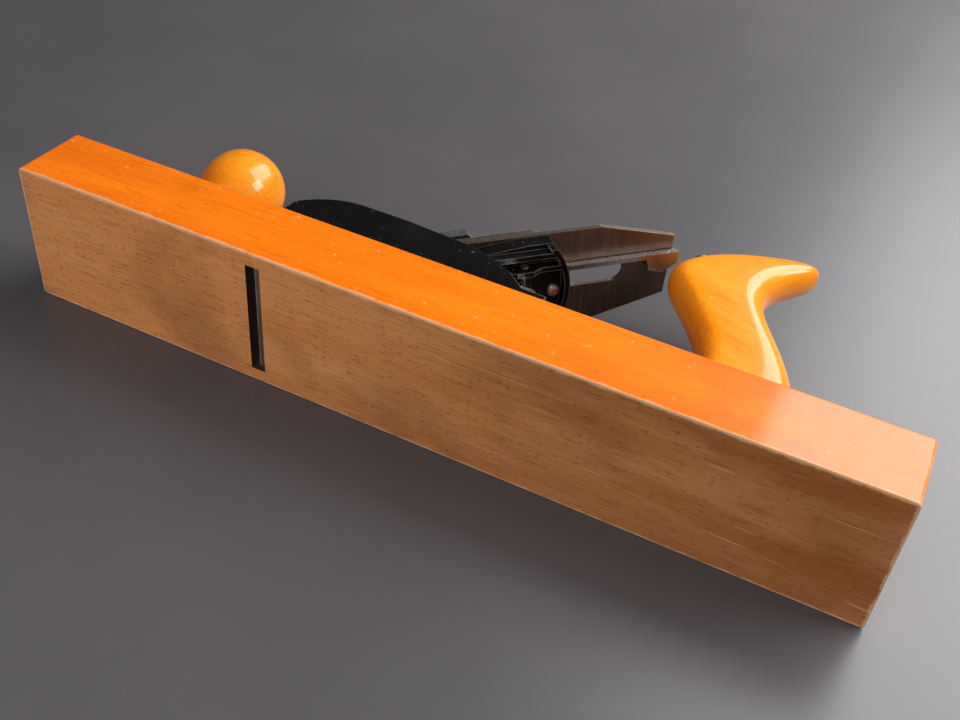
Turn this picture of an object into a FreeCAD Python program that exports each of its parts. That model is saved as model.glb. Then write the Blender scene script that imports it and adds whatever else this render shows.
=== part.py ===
import FreeCAD, Part
import math
import os
import re
import sys

import Sketcher

# A wood-bottomed bench plane: beech stock, iron top frame and frog, cutter with cap iron, lever cap with
# a cam, a depth wheel with its yoke, a lateral lever, a turned front knob and a shaped tote.
# Row frame: millimetres, +X to the toe, +Y to the left, +Z up, origin at the middle of the sole.
# Bed frame, for everything that lies on the bed: x runs up the bed from the sole, y to the left,
# z away from the cutter's back face towards the heel, so the front of the iron has negative z.

SIZES = [
    # stock
    ("body_length", 381.0, "15 in stock"),
    ("body_width", 66.0, "width of the stock"),
    ("body_height", 36.2, "thickness of the stock"),
    ("body_round", 2.0, "rounded arris of the stock"),
    ("sole_round", 0.8, "small round at the sole's edges"),
    # bed and mouth
    ("bed_angle", 45.0, "pitch of the bed in degrees"),
    ("bed_x", 70.2, "where the cutter's back face meets the sole plane"),
    ("bed_gap", 0.25, "air between the wooden bed and the cutter"),
    ("mouth_back_x", 67.8, "rear lip of the mouth"),
    ("mouth_front_x", 74.6, "front lip of the mouth"),
    ("mouth_side_gap", 1.5, "air at each end of the mouth, for the skew of the cutter"),
    ("throat_top_front", 40.5, "length of the throat ahead of the cutter at the top of the stock"),
    # iron top frame
    ("frame_thickness", 3.5, "plate that lies on the stock"),
    ("frame_width", 62.4, "outside width over the cheeks"),
    ("frame_front_x", 84.0, "front end of the frame"),
    ("frame_back_x", -39.0, "rear end of the cheeks"),
    ("cheek_height", 18.4, "cheek above the plate"),
    ("cheek_thickness", 3.6, "thickness of a cheek"),
    ("wheel_notch_reach", 8.3, "notch for the depth wheel, ahead of the fork"),
    ("wheel_notch_half", 18.2, "half width of that notch"),
    ("frame_screw_radius", 2.2, "shank of the wood screws"),
    ("frame_screw_head", 4.2, "head radius of the wood screws"),
    ("frame_screw_length", 20.0, "length of the wood screws"),
    # frog
    ("frog_half_width", 25.0, "half width at the shoulders"),
    ("frog_foot_half", 22.5, "half width at the foot"),
    ("frog_plate", 6.5, "thickness of the bed plate"),
    ("frog_rib_depth", 10.5, "depth to the tops of rims and ribs"),
    ("frog_rim", 2.6, "thickness of the side rims"),
    ("frog_rib", 2.5, "thickness of the two middle ribs"),
    ("frog_rib_y", 14.4, "centre of a middle rib"),
    ("frog_shoulder_s", 126.0, "where the crown starts"),
    ("frog_crown_s", 135.0, "top of the crown"),
    ("frog_foot_thickness", 5.0, "thickness of the foot"),
    ("frog_foot_length", 34.0, "length of the foot behind the bed"),
    ("frog_screw_radius", 2.7, "shank of the two frog screws"),
    ("frog_screw_x", 2.7, "place of the frog screws along the plane"),
    ("frog_screw_y", 17.9, "half distance of the frog screws"),
    ("frog_screw_length", 22.0, "shank length of the frog screws"),
    # cutter and cap iron
    ("cutter_width", 50.8, "2 in cutter"),
    ("cutter_thickness", 2.1, "thickness of the cutter"),
    ("cutter_top_s", 188.5, "top end of the cutter"),
    ("cutter_edge_z", 1.8, "height of the edge above the sole when drawn back"),
    ("grind_angle", 25.0, "ground bevel in degrees"),
    ("cutter_clip_s", 151.0, "where the clipped corners start"),
    ("cutter_clip_half", 15.8, "half width of the top end"),
    ("slot_width", 9.5, "3/8 in slot"),
    ("slot_low_s", 60.0, "lower end of the slot"),
    ("slot_high_s", 165.5, "upper end of the slot"),
    ("cap_iron_thickness", 2.1, "thickness of the cap iron"),
    ("cap_iron_top_s", 128.0, "top end of the cap iron"),
    ("cap_iron_back", 1.4, "cap iron's edge behind the cutting edge"),
    ("hump_length", 24.0, "length of the sprung hump"),
    ("hump_rise", 4.6, "rise of the hump over the flat"),
    ("cap_screw_s", 68.0, "place of the cap iron screw"),
    ("cap_screw_radius", 3.9, "shank of the cap iron screw"),
    ("cap_screw_head", 7.2, "head radius of the cap iron screw"),
    ("cap_screw_head_depth", 2.6, "head thickness of the cap iron screw"),
    # lever cap
    ("lever_screw_s", 90.0, "place of the lever cap screw"),
    ("lever_screw_radius", 3.3, "shank of the lever cap screw"),
    ("lever_screw_head", 6.6, "head radius of the lever cap screw"),
    ("lever_cap_low_s", 10.0, "lower edge of the lever cap"),
    ("lever_cap_waist_s", 92.0, "where the lever cap starts to narrow"),
    ("lever_cap_top_s", 117.0, "top of the lever cap's ears"),
    ("lever_cap_width", 50.0, "width of the lever cap"),
    ("lever_cap_top_half", 15.0, "half width over the ears"),
    ("lever_cap_thickness", 4.6, "thickness of the lever cap"),
    ("lever_cap_gap", 0.25, "air between the lever cap and the hump"),
    ("keyhole_drop", 11.0, "distance from the screw down to the keyhole's round end"),
    ("cam_s", 112.5, "place of the cam pin along the bed"),
    ("cam_pin_radius", 1.9, "cam pin"),
    ("cam_radius", 4.6, "radius of the cam's nose"),
    ("cam_half_width", 10.6, "half width of the cam between the ears"),
    ("cam_lever_length", 33.0, "length of the cam lever beyond its pin"),
    ("spring_thickness", 0.8, "lever cap spring"),
    # depth adjustment
    ("yoke_s", 113.2, "place of the yoke pin along the bed"),
    ("yoke_d", 8.0, "depth of the yoke pin behind the cutter's back face"),
    ("yoke_pin_radius", 1.6, "yoke pin"),
    ("yoke_hub_radius", 2.7, "hub of the yoke"),
    ("yoke_tip_radius", 1.5, "round tip that works the cap iron"),
    ("yoke_tip_half", 3.9, "half width of the tip and neck"),
    ("yoke_arm_inner", 8.4, "inner side of a fork arm"),
    ("yoke_arm_outer", 11.2, "outer side of a fork arm"),
    ("yoke_arm_half", 1.1, "half thickness of a fork arm in the groove"),
    ("wheel_z", 55.5, "height of the depth wheel's axis"),
    ("wheel_radius", 16.0, "rim of the depth wheel"),
    ("wheel_rim_width", 6.5, "width of the knurled rim"),
    ("wheel_flange_radius", 12.0, "front flange"),
    ("wheel_flange_width", 2.0, "front flange width"),
    ("wheel_core_radius", 7.8, "bottom of the groove"),
    ("groove_back", 2.6, "groove behind the fork's centre"),
    ("groove_front", 3.6, "groove ahead of the fork's centre"),
    ("knurl_count", 60.0, "flutes round the rim"),
    ("stud_radius", 3.6, "depth adjusting stud"),
    ("stud_back_x", -35.3, "free end of the stud"),
    ("bush_wall", 1.6, "wall of the threaded bush in the wheel"),
    ("running_gap", 0.06, "radial clearance of a running fit"),
    # lateral adjustment
    ("lateral_pivot_s", 128.7, "rivet of the lateral lever"),
    ("lateral_rivet_radius", 2.0, "shank of that rivet"),
    ("lateral_rivet_head", 3.2, "head radius of that rivet"),
    ("roller_s", 122.0, "roller that works in the cutter's slot"),
    ("roller_gap", 0.25, "air between the roller and the slot"),
    ("roller_pin_radius", 1.8, "stud that the roller turns on"),
    ("lateral_plate", 2.2, "thickness of the lateral lever"),
    ("lateral_gap", 0.4, "air between the lateral lever and the cutter"),
    ("lateral_bar_y", 7.6, "centre of the lever's bar"),
    ("lateral_bar_width", 2.4, "thickness of the bar, which stands on edge"),
    ("lateral_end_s", 191.0, "free end of the bar"),
    ("thumb_low_s", 175.0, "lower end of the thumb piece"),
    # knob
    ("knob_x", 133.5, "knob's place"),
    ("knob_radius", 19.8, "head of the knob"),
    ("knob_height", 61.0, "height of the knob"),
    ("knob_base_radius", 14.0, "foot of the knob"),
    ("knob_waist_radius", 11.0, "waist of the knob"),
    ("rod_radius", 2.8, "threaded rods of knob and tote"),
    ("nut_radius", 5.6, "head of the barrel nuts"),
    ("insert_radius", 5.0, "threaded inserts in the stock"),
    ("insert_length", 14.0, "length of the inserts"),
    # tote
    ("tote_x", -150.5, "rear foot of the tote"),
    ("tote_height", 127.0, "height of the tote"),
    ("tote_thickness", 22.0, "thickness of the tote"),
    ("tote_round", 5.0, "rounding of the tote's edges"),
    ("tote_rod_lean", 24.0, "lean of the tote's rod in degrees"),
    ("tote_rod_x", -123.0, "where the tote's rod meets the stock"),
    ("toe_screw_x", -88.0, "wood screw in the tote's toe"),
]

PARTS = "parts"
NAMES = [name for name, value, note in SIZES]

doc = FreeCAD.newDocument("hand_plane")
sheet = doc.addObject("Spreadsheet::Sheet", "Sizes")
for line, (name, value, note) in enumerate(SIZES, start=1):
    sheet.set(f"A{line}", name)
    sheet.set(f"B{line}", str(value))
    sheet.set(f"C{line}", note)
    sheet.setAlias(f"B{line}", name)
doc.recompute()

LONGEST_FIRST = sorted(NAMES, key=len, reverse=True)
NAME_PATTERN = re.compile(r"\b(" + "|".join(LONGEST_FIRST) + r")\b")


def full(formula):
    """The formula with the sheet named before each size, as an expression wants it."""
    return NAME_PATTERN.sub(r"Sizes.\1", str(formula))


def size(formula):
    """The number that a formula of the sheet's sizes gives now."""
    return float(sheet.evalExpression(full(formula)))


# Formulas that several pieces share.
SIN = "sin(bed_angle * 1 deg)"
COS = "cos(bed_angle * 1 deg)"
TOP_Z = "body_height"
PLATE_Z = "(body_height + frame_thickness)"
CUTTER_FRONT = "(-cutter_thickness)"
IRON_FRONT = "(-cutter_thickness - cap_iron_thickness)"
EDGE_S = f"((cutter_edge_z - cutter_thickness * {COS}) / {SIN})"
CAP_BACK = f"({IRON_FRONT} - hump_rise + cap_iron_thickness - lever_cap_gap)"
CAP_FRONT = f"({CAP_BACK} - lever_cap_thickness)"
CAM_D = f"({IRON_FRONT} - spring_thickness - 0.6 - cam_radius)"
TIP_D = f"({IRON_FRONT} + yoke_tip_radius + 0.1)"
FORK_X = f"(bed_x - yoke_s * {COS} - yoke_d * {SIN})"
PIN_Z = f"(yoke_s * {SIN} - yoke_d * {COS})"
FORK_Z = "(wheel_z + 3.2)"
STUD_DEPTH = "(frog_plate - 0.5)"
MOUTH_HALF = "(cutter_width / 2 + mouth_side_gap)"
HALF_SPAN = "(frame_width / 2 - cheek_thickness)"


def bed_x_at(s, d):
    """Row X of a point of the bed frame, as a formula."""
    return f"(bed_x - ({s}) * {COS} - ({d}) * {SIN})"


def bed_s_at_height(height, d):
    """Distance up the bed where depth d is at a height over the sole, as a formula."""
    return f"((({height}) + ({d}) * {COS}) / {SIN})"


def new_body(label, on_bed=False):
    body = doc.addObject("PartDesign::Body", label)
    body.Label = label
    if on_bed:
        turn = FreeCAD.Rotation(FreeCAD.Vector(0, 1, 0), size("bed_angle") - 180)
        body.Placement = FreeCAD.Placement(FreeCAD.Vector(size("bed_x"), 0, 0), turn)
        body.setExpression("Placement.Base.x", full("bed_x"))
    return body


def new_sketch(body, plane, offset):
    sketch = body.newObject("Sketcher::SketchObject", "sketch")
    support = [feature for feature in body.Origin.OriginFeatures if feature.Role == plane + "_Plane"][0]
    sketch.AttachmentSupport = [(support, "")]
    sketch.MapMode = "FlatFace"
    sketch.setExpression("AttachmentOffset.Base.z", full(offset))
    return sketch


def pin_point(sketch, edge, end, x, y):
    """Ties one end of a sketch edge to formulas for its two coordinates."""
    for kind, formula in (("DistanceX", x), ("DistanceY", y)):
        index = sketch.addConstraint(Sketcher.Constraint(kind, -1, 1, edge, end, size(formula)))
        sketch.setExpression(f"Constraints[{index}]", full(formula))


def add_outline(sketch, points):
    """Adds a closed outline. A point is (x, y), or (x, y, radius) when the edge that leads to it is an
    arc; the radius is negative when the arc turns clockwise."""
    count = len(points)
    places = [FreeCAD.Vector(size(point[0]), size(point[1]), 0) for point in points]
    ends = []
    for index in range(count):
        here, there = places[index], places[(index + 1) % count]
        target = points[(index + 1) % count]
        if len(target) == 2:
            edge = sketch.addGeometry(Part.LineSegment(here, there), False)
            ends.append((edge, 1, 2))
            continue
        signed = size(target[2])
        chord = there - here
        left = FreeCAD.Vector(-chord.y, chord.x, 0).normalize()
        rise = math.sqrt(max(signed * signed - chord.Length ** 2 / 4, 0.0))
        centre = (here + there) * 0.5 + left * math.copysign(rise, signed)
        start, stop = (here, there) if signed > 0 else (there, here)
        angles = [math.atan2(point.y - centre.y, point.x - centre.x) for point in (start, stop)]
        if angles[1] < angles[0]:
            angles[1] += 2 * math.pi
        circle = Part.Circle(centre, FreeCAD.Vector(0, 0, 1), abs(signed))
        edge = sketch.addGeometry(Part.ArcOfCircle(circle, *angles), False)
        ends.append((edge, 1, 2) if signed > 0 else (edge, 2, 1))
        radius = sketch.addConstraint(Sketcher.Constraint("Radius", edge, abs(signed)))
        sketch.setExpression(f"Constraints[{radius}]", full(f"abs({target[2]})"))
    for index, (edge, first, last) in enumerate(ends):
        following = ends[(index + 1) % count]
        sketch.addConstraint(Sketcher.Constraint("Coincident", edge, last, following[0], following[1]))
        pin_point(sketch, edge, first, points[index][0], points[index][1])


def add_circle(sketch, x, y, radius):
    circle = Part.Circle(FreeCAD.Vector(size(x), size(y), 0), FreeCAD.Vector(0, 0, 1), size(radius))
    edge = sketch.addGeometry(circle, False)
    index = sketch.addConstraint(Sketcher.Constraint("Radius", edge, size(radius)))
    sketch.setExpression(f"Constraints[{index}]", full(radius))
    pin_point(sketch, edge, 3, x, y)


def feature(body, kind, sketch, length, centred, backwards):
    made = body.newObject("PartDesign::" + kind, kind.lower())
    made.Profile = sketch
    made.setExpression("Length", full(length))
    if centred:
        made.SideType = "Symmetric"
    made.Reversed = backwards
    doc.recompute()
    return made


def pad(body, plane, offset, length, outlines=(), circles=(), centred=False, backwards=False):
    sketch = new_sketch(body, plane, offset)
    for outline in outlines:
        add_outline(sketch, outline)
    for circle in circles:
        add_circle(sketch, *circle)
    return feature(body, "Pad", sketch, length, centred, backwards)


def cut(body, plane, offset, length, outlines=(), circles=(), centred=False, backwards=False):
    """Cuts into the body and stops the build when nothing was cut."""
    before = body.Shape.Volume
    sketch = new_sketch(body, plane, offset)
    for outline in outlines:
        add_outline(sketch, outline)
    for circle in circles:
        add_circle(sketch, *circle)
    made = feature(body, "Pocket", sketch, length, centred, backwards)
    if body.Shape.Volume > before - 1e-3:
        sys.exit(f"{body.Label}: {made.Name} cuts nothing")
    return made


def box_outline(x_low, x_high, y_low, y_high):
    return [(x_low, y_low), (x_high, y_low), (x_high, y_high), (x_low, y_high)]


def revolve(body, plane, outline, axis):
    """Turns an outline about an axis of its own sketch plane."""
    sketch = new_sketch(body, plane, "0")
    add_outline(sketch, outline)
    made = body.newObject("PartDesign::Revolution", "revolution")
    made.Profile = sketch
    made.ReferenceAxis = (sketch, [axis])
    made.Angle = 360.0
    doc.recompute()
    return made


def soften(body, kind, amount, wanted):
    """Fillets or chamfers the edges of the body's last feature that the test picks."""
    base = body.Tip
    edges = [f"Edge{index}" for index, edge in enumerate(base.Shape.Edges, start=1) if wanted(edge)]
    if not edges:
        sys.exit(f"{body.Label}: no edge to soften")
    made = body.newObject("PartDesign::" + kind, kind.lower())
    made.Base = (base, edges)
    made.setExpression("Radius" if kind == "Fillet" else "Size", full(amount))
    doc.recompute()
    if not made.isValid():
        sys.exit(f"{body.Label}: {made.Name} failed")
    return made


def slotted_screw(x, y, head_z, head_radius, head_depth, shank_radius, shank_length):
    """A slotted screw that points down, with the top of its coned head at head_z; returns the solid."""
    shank = Part.makeCylinder(shank_radius, shank_length)
    shank.translate(FreeCAD.Vector(0, 0, -shank_length))
    head = Part.makeCone(shank_radius, head_radius, head_depth)
    screw = shank.fuse(head)
    slot = Part.makeBox(2 * head_radius + 1, head_radius * 0.24, head_depth * 0.45)
    slot.translate(FreeCAD.Vector(-head_radius - 0.5, -head_radius * 0.12, head_depth * 0.55))
    screw = screw.cut(slot).removeSplitter()
    screw.translate(FreeCAD.Vector(x, y, head_z - head_depth))
    return screw


def shape_feature(label, shape):
    made = doc.addObject("Part::Feature", label)
    made.Label = label
    made.Shape = shape
    return made


def along(edge, direction, tolerance=1e-4):
    """True when a straight edge runs along a direction."""
    if edge.Curve.TypeId != "Part::GeomLine":
        return False
    return abs(abs(edge.Curve.Direction.dot(direction)) - 1) < tolerance


X_AXIS, Y_AXIS, Z_AXIS = FreeCAD.Vector(1, 0, 0), FreeCAD.Vector(0, 1, 0), FreeCAD.Vector(0, 0, 1)


# The stock -------------------------------------------------------------------------------------------

FRAME_SCREWS = [
    ("frame_front_x - 4.6", "14"),
    ("frame_front_x - 4.6", "-14"),
    ("frame_back_x + 12", f"(wheel_notch_half + {HALF_SPAN}) / 2"),
    ("frame_back_x + 12", f"(wheel_notch_half + {HALF_SPAN}) / -2"),
]


def wood_body():
    body = new_body("wood_body")
    half_l, half_w = "body_length / 2", "body_width / 2"
    pad(body, "XY", "0", "body_height", [box_outline(f"-{half_l}", half_l, f"-{half_w}", half_w)])
    top = size(TOP_Z)
    soften(body, "Fillet", "body_round", lambda edge: edge.BoundBox.ZMax > top - 1e-4)
    soften(body, "Fillet", "sole_round", lambda edge: edge.BoundBox.ZMax < 1e-4)
    back_top = f"bed_x - bed_gap / {SIN} - body_height * {COS} / {SIN}"
    lip = f"(bed_x - bed_gap / {SIN} - mouth_back_x) * {SIN} / {COS}"
    throat = [
        ("mouth_back_x", "-1"),
        ("mouth_front_x", "-1"),
        ("mouth_front_x", "3"),
        (f"{back_top} + throat_top_front", "body_height + 1"),
        (f"{back_top} - {COS} / {SIN}", "body_height + 1"),
        ("mouth_back_x", lip),
    ]
    cut(body, "XZ", "0", f"2 * {MOUTH_HALF}", [throat], centred=True)
    for x, y in FRAME_SCREWS:
        cut(body, "XY", TOP_Z, "frame_screw_length", circles=[(x, y, "frame_screw_radius")])
    for side in ("", "-"):
        place = ("frog_screw_x", f"{side}frog_screw_y", "frog_screw_radius + 0.6")
        cut(body, "XY", TOP_Z, "frog_screw_length", circles=[place])
    cut(body, "XY", TOP_Z, "insert_length + 6", circles=[("knob_x", "0", "insert_radius")])
    cut(body, "XY", TOP_Z, "18", circles=[("toe_screw_x", "0", "frame_screw_radius")])
    low, high = tote_rod_point("-insert_length - 5"), tote_rod_point("9")
    return drilled(body, [drill("insert_radius", low, high)])


def tote_rod_point(distance):
    """Formulas for the row point at a distance up the line of the tote's rod."""
    lean = "tote_rod_lean * 1 deg"
    x = f"tote_rod_x + ({distance}) * sin({lean})"
    return x, "0", f"{TOP_Z} + ({distance}) * cos({lean})"


# The iron top frame ----------------------------------------------------------------------------------

def top_frame():
    body = new_body("top_frame")
    half = "frame_width / 2"
    corner = "12"
    plate = [
        ("frame_back_x", f"-{half}"),
        (f"frame_front_x - {corner}", f"-{half}"),
        ("frame_front_x", f"-{half} + {corner}", corner),
        ("frame_front_x", f"{half} - {corner}"),
        (f"frame_front_x - {corner}", half, corner),
        ("frame_back_x", half),
    ]
    pad(body, "XY", TOP_Z, "frame_thickness", [plate])
    crest = f"({PLATE_Z} + cheek_height)"
    cheek = [
        ("frame_back_x", TOP_Z),
        ("frame_front_x - 3", TOP_Z),
        ("frame_front_x - 4", f"{PLATE_Z} + 6"),
        ("frame_front_x - 32", crest, "36"),
        ("frame_front_x - 52", crest),
        ("frame_front_x - 82", f"{crest} - 2"),
        ("frame_front_x - 90", f"{crest} - 4.2"),
        ("frame_front_x - 102", f"{crest} - 9.4"),
        ("frame_front_x - 112.5", PLATE_Z),
        ("frame_back_x", f"{PLATE_Z} - 1"),
    ]
    for side in ("", "-"):
        middle = f"{side}1 * ({half} - cheek_thickness / 2)"
        pad(body, "XZ", f"-1 * ({middle})", "cheek_thickness", [cheek], centred=True)
    bed_edge = f"bed_x - {PLATE_Z} * {COS} / {SIN} - 1.2"
    throat = box_outline(
        bed_edge,
        f"bed_x - body_height * {COS} / {SIN} + throat_top_front",
        f"-{MOUTH_HALF}",
        MOUTH_HALF,
    )
    cut(body, "XY", PLATE_Z, "frame_thickness", [throat])
    head_room = box_outline(f"{bed_edge} - 4", f"{bed_edge} + 1", "-cap_screw_head - 1.8", "cap_screw_head + 1.8")
    cut(body, "XY", PLATE_Z, "frame_thickness", [head_room])
    notch = box_outline(
        "frame_back_x - 1", f"{FORK_X} + wheel_notch_reach", "-wheel_notch_half", "wheel_notch_half")
    cut(body, "XY", PLATE_Z, "frame_thickness", [notch])
    for x, y in FRAME_SCREWS:
        cut(body, "XY", PLATE_Z, "frame_thickness", circles=[(x, y, "frame_screw_radius + 0.1")])
        centre = FreeCAD.Vector(size(x), size(y), size(PLATE_Z))
        soften(body, "Chamfer", "frame_screw_head - frame_screw_radius - 0.1",
               lambda edge: round_about(edge, centre))
    for side in ("", "-"):
        place = ("frog_screw_x", f"{side}frog_screw_y", "frog_screw_radius")
        cut(body, "XY", PLATE_Z, "frame_thickness", circles=[place])
    plate_top = size(PLATE_Z)
    soften(body, "Fillet", "cheek_thickness * 0.4", lambda edge: is_cheek_crest(edge, plate_top))
    return body


def is_cheek_crest(edge, plate_top):
    return edge.BoundBox.ZMin > plate_top + 4 and edge.BoundBox.YLength < 0.01


def round_about(edge, centre):
    """True for a round edge centred on a point."""
    return edge.Curve.TypeId == "Part::GeomCircle" and edge.Curve.Center.distanceToPoint(centre) < 1e-3


def frame_screws():
    screws = []
    for x, y in FRAME_SCREWS:
        depth = size("frame_screw_head - frame_screw_radius")
        radius = size("frame_screw_radius") - 0.05
        head = size("frame_screw_head") - 0.05
        length = size("frame_screw_length - 1")
        screws.append(slotted_screw(size(x), size(y), size(PLATE_Z), head, depth, radius, length))
    return shape_feature("frame_screws", Part.makeCompound(screws))


# The frog --------------------------------------------------------------------------------------------

def frog():
    body = new_body("frog", on_bed=True)
    foot_s = bed_s_at_height(PLATE_Z, "0")
    foot_top_s = bed_s_at_height(f"{PLATE_Z} + frog_foot_thickness", "frog_plate")
    reach = f"frog_foot_length * {SIN}"
    side = [
        (foot_s, "0"),
        ("frog_crown_s", "0"),
        ("frog_crown_s", "frog_plate"),
        (foot_top_s, "frog_plate"),
        (bed_s_at_height(f"{PLATE_Z} + frog_foot_thickness", reach), reach),
        (bed_s_at_height(PLATE_Z, reach), reach),
    ]
    pad(body, "XZ", "0", "2 * frog_half_width", [side], centred=True)
    rim = [
        (foot_top_s, "frog_plate - 1"),
        ("frog_crown_s", "frog_plate - 1"),
        ("frog_crown_s", "frog_rib_depth"),
        ("frog_shoulder_s - 40", "frog_rib_depth"),
        (bed_s_at_height(f"{PLATE_Z} + 1", f"{reach} - 3"), f"{reach} - 3"),
        (bed_s_at_height(f"{PLATE_Z} + 1", "frog_plate"), "frog_plate - 1"),
    ]
    for mirror in ("1", "-1"):
        middle = f"{mirror} * (frog_foot_half - frog_rim / 2)"
        pad(body, "XZ", f"-1 * ({middle})", "frog_rim", [rim], centred=True)
    ear = "(yoke_pin_radius + 3.2)"
    rib = [
        (bed_s_at_height(f"{PLATE_Z} + 1", "frog_plate"), "frog_plate - 1"),
        ("frog_crown_s", "frog_plate - 1"),
        ("frog_crown_s", "frog_rib_depth"),
        (f"yoke_s + {ear} + 2", "frog_rib_depth"),
        (f"yoke_s + {ear} * 0.6", f"yoke_d + {ear}"),
        (f"yoke_s - {ear}", f"yoke_d + {ear}"),
        (f"yoke_s - {ear} - 9", "frog_rib_depth"),
        (bed_s_at_height(f"{PLATE_Z} + 1", "frog_rib_depth"), "frog_rib_depth"),
    ]
    for mirror in ("1", "-1"):
        pad(body, "XZ", f"{mirror} * frog_rib_y", "frog_rib", [rib], centred=True)
    shoulder = "(frog_crown_s - frog_shoulder_s)"
    crown_radius = f"((frog_half_width ^ 2 + {shoulder} ^ 2) / (2 * {shoulder}))"
    brow = f"({crown_radius} - 2.6)"
    brow_half = "(frog_half_width - 1)"
    brow_s = f"(frog_crown_s - {crown_radius} + sqrt({brow} ^ 2 - {brow_half} ^ 2))"
    crown = [
        ("frog_shoulder_s", "-frog_half_width"),
        ("frog_shoulder_s", "frog_half_width", crown_radius),
        ("frog_shoulder_s", brow_half),
        (brow_s, brow_half),
        (brow_s, f"-{brow_half}", f"-{brow}"),
        ("frog_shoulder_s", f"-{brow_half}"),
    ]
    pad(body, "XY", "frog_plate - 1", "frog_rib_depth - frog_plate + 1", [crown])
    stud_s = bed_s_at_height("wheel_z", "frog_plate")
    boss = [
        (f"{stud_s} - 6", "frog_plate - 1"),
        (f"{stud_s} + 6", "frog_plate - 1"),
        (f"{stud_s} + 7.5", "frog_plate + 3"),
        (f"{stud_s} - 1", "frog_plate + 7"),
    ]
    pad(body, "XZ", "0", "13", [boss], centred=True)
    screw_boss = ("lever_screw_s", "0", "lever_screw_radius + 3")
    pad(body, "XY", "frog_plate - 1", "4", circles=[screw_boss])
    waste = [
        ("frog_shoulder_s", "-frog_half_width"),
        ("frog_shoulder_s", "frog_half_width", crown_radius),
        ("frog_shoulder_s", "frog_half_width + 9"),
        ("frog_crown_s + 9", "frog_half_width + 9"),
        ("frog_crown_s + 9", "-frog_half_width - 9"),
        ("frog_shoulder_s", "-frog_half_width - 9"),
    ]
    cut(body, "XY", "-1", "60", [waste], backwards=True)
    for mirror in ("1", "-1"):
        flank = [
            (f"{foot_s} - 25", f"{mirror} * frog_foot_half"),
            ("frog_shoulder_s - 34", f"{mirror} * frog_foot_half"),
            ("frog_shoulder_s - 12", f"{mirror} * frog_half_width"),
            ("frog_shoulder_s", f"{mirror} * frog_half_width"),
            ("frog_shoulder_s", f"{mirror} * (frog_half_width + 9)"),
            (f"{foot_s} - 25", f"{mirror} * (frog_half_width + 9)"),
        ]
        cut(body, "XY", "-1", "60", [flank], backwards=True)
    trough = box_outline(f"{foot_s} - 25", "cap_screw_s + cap_screw_head + 2", "-9", "9")
    cut(body, "XY", "-1", "cap_screw_head_depth + 1.8", [trough], backwards=True)
    window = box_outline("yoke_s - 9", "yoke_s + 4.2", "-yoke_arm_outer - 1.2", "yoke_arm_outer + 1.2")
    cut(body, "XY", "-1", "30", [window], backwards=True)
    recess = box_outline("roller_s - 4.9", "frog_crown_s + 1", "-12.4", "12.4")
    cut(body, "XY", "-1", "lateral_plate + 2 * lateral_gap + 1", [recess], backwards=True)
    rivet = ("lateral_pivot_s", "0", "lateral_rivet_radius")
    cut(body, "XY", "-1", "40", circles=[rivet], backwards=True)
    tapped = ("lever_screw_s", "0", "lever_screw_radius")
    cut(body, "XY", "-1", "frog_plate - 2.3", circles=[tapped], backwards=True)
    pin_hole = ("yoke_s", "yoke_d", "yoke_pin_radius")
    cut(body, "XZ", "0", "2 * frog_rib_y + 2 * frog_rib", circles=[pin_hole], centred=True)
    stud_front = bed_x_at(bed_s_at_height("wheel_z", STUD_DEPTH), STUD_DEPTH)
    drills = [drill("stud_radius", ("stud_back_x", "0", "wheel_z"), (stud_front, "0", "wheel_z"))]
    foot_top = f"{PLATE_Z} + frog_foot_thickness"
    for mirror in ("1", "-1"):
        y = f"{mirror} * frog_screw_y"
        drills.append(drill("frog_screw_radius + 0.2", ("frog_screw_x", y, TOP_Z), ("frog_screw_x", y, foot_top)))
        drills.append(drill("frog_screw_radius + 3.3", ("frog_screw_x", y, foot_top),
                            ("frog_screw_x", y, f"{foot_top} + 6")))
    return drilled(body, drills)


def drilled(body, drills):
    """Takes drills, placed in the row frame, out of a finished body."""
    label = body.Label
    body.Label = f"{label}_blank"
    made = doc.addObject("Part::Cut", f"{label}_drilled")
    made.Base = body
    made.Tool = drills[0]
    if len(drills) > 1:
        made.Tool = doc.addObject("Part::MultiFuse", f"{label}_drills")
        made.Tool.Shapes = drills
    made.Label = label
    doc.recompute()
    return made


def drill(radius, start, end):
    """A Part cylinder that runs from one row point to another."""
    made = doc.addObject("Part::Cylinder", "drill")
    low = FreeCAD.Vector(*[size(value) for value in start])
    high = FreeCAD.Vector(*[size(value) for value in end])
    made.setExpression("Radius", full(radius))
    length = " + ".join(f"(({b}) - ({a})) ^ 2" for a, b in zip(start, end))
    made.setExpression("Height", full(f"sqrt({length})"))
    turn = FreeCAD.Rotation(FreeCAD.Vector(0, 0, 1), high - low)
    made.Placement = FreeCAD.Placement(low, turn)
    for axis, value in zip("xyz", start):
        made.setExpression(f"Placement.Base.{axis}", full(value))
    return made


def frog_screws():
    screws = []
    for side in (1, -1):
        depth, head = 3.0, size("frog_screw_radius") + 2.6
        seat = size(f"{PLATE_Z} + frog_foot_thickness") + 1.2
        length = size("frog_screw_length")
        screw = slotted_screw(size("frog_screw_x"), side * size("frog_screw_y"), seat + depth,
                              head, depth, size("frog_screw_radius") - 0.05, length)
        screws.append(screw)
    return shape_feature("frog_screws", Part.makeCompound(screws))


def frog_washers():
    washers = []
    for side in (1, -1):
        outer = Part.makeCylinder(size("frog_screw_radius") + 2.8, 1.2)
        hole = Part.makeCylinder(size("frog_screw_radius") + 0.2, 1.2)
        washer = outer.cut(hole)
        seat = size(f"{PLATE_Z} + frog_foot_thickness")
        washer.translate(FreeCAD.Vector(size("frog_screw_x"), side * size("frog_screw_y"), seat))
        washers.append(washer)
    return shape_feature("frog_washers", Part.makeCompound(washers))


# Cutter and cap iron ---------------------------------------------------------------------------------

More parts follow.
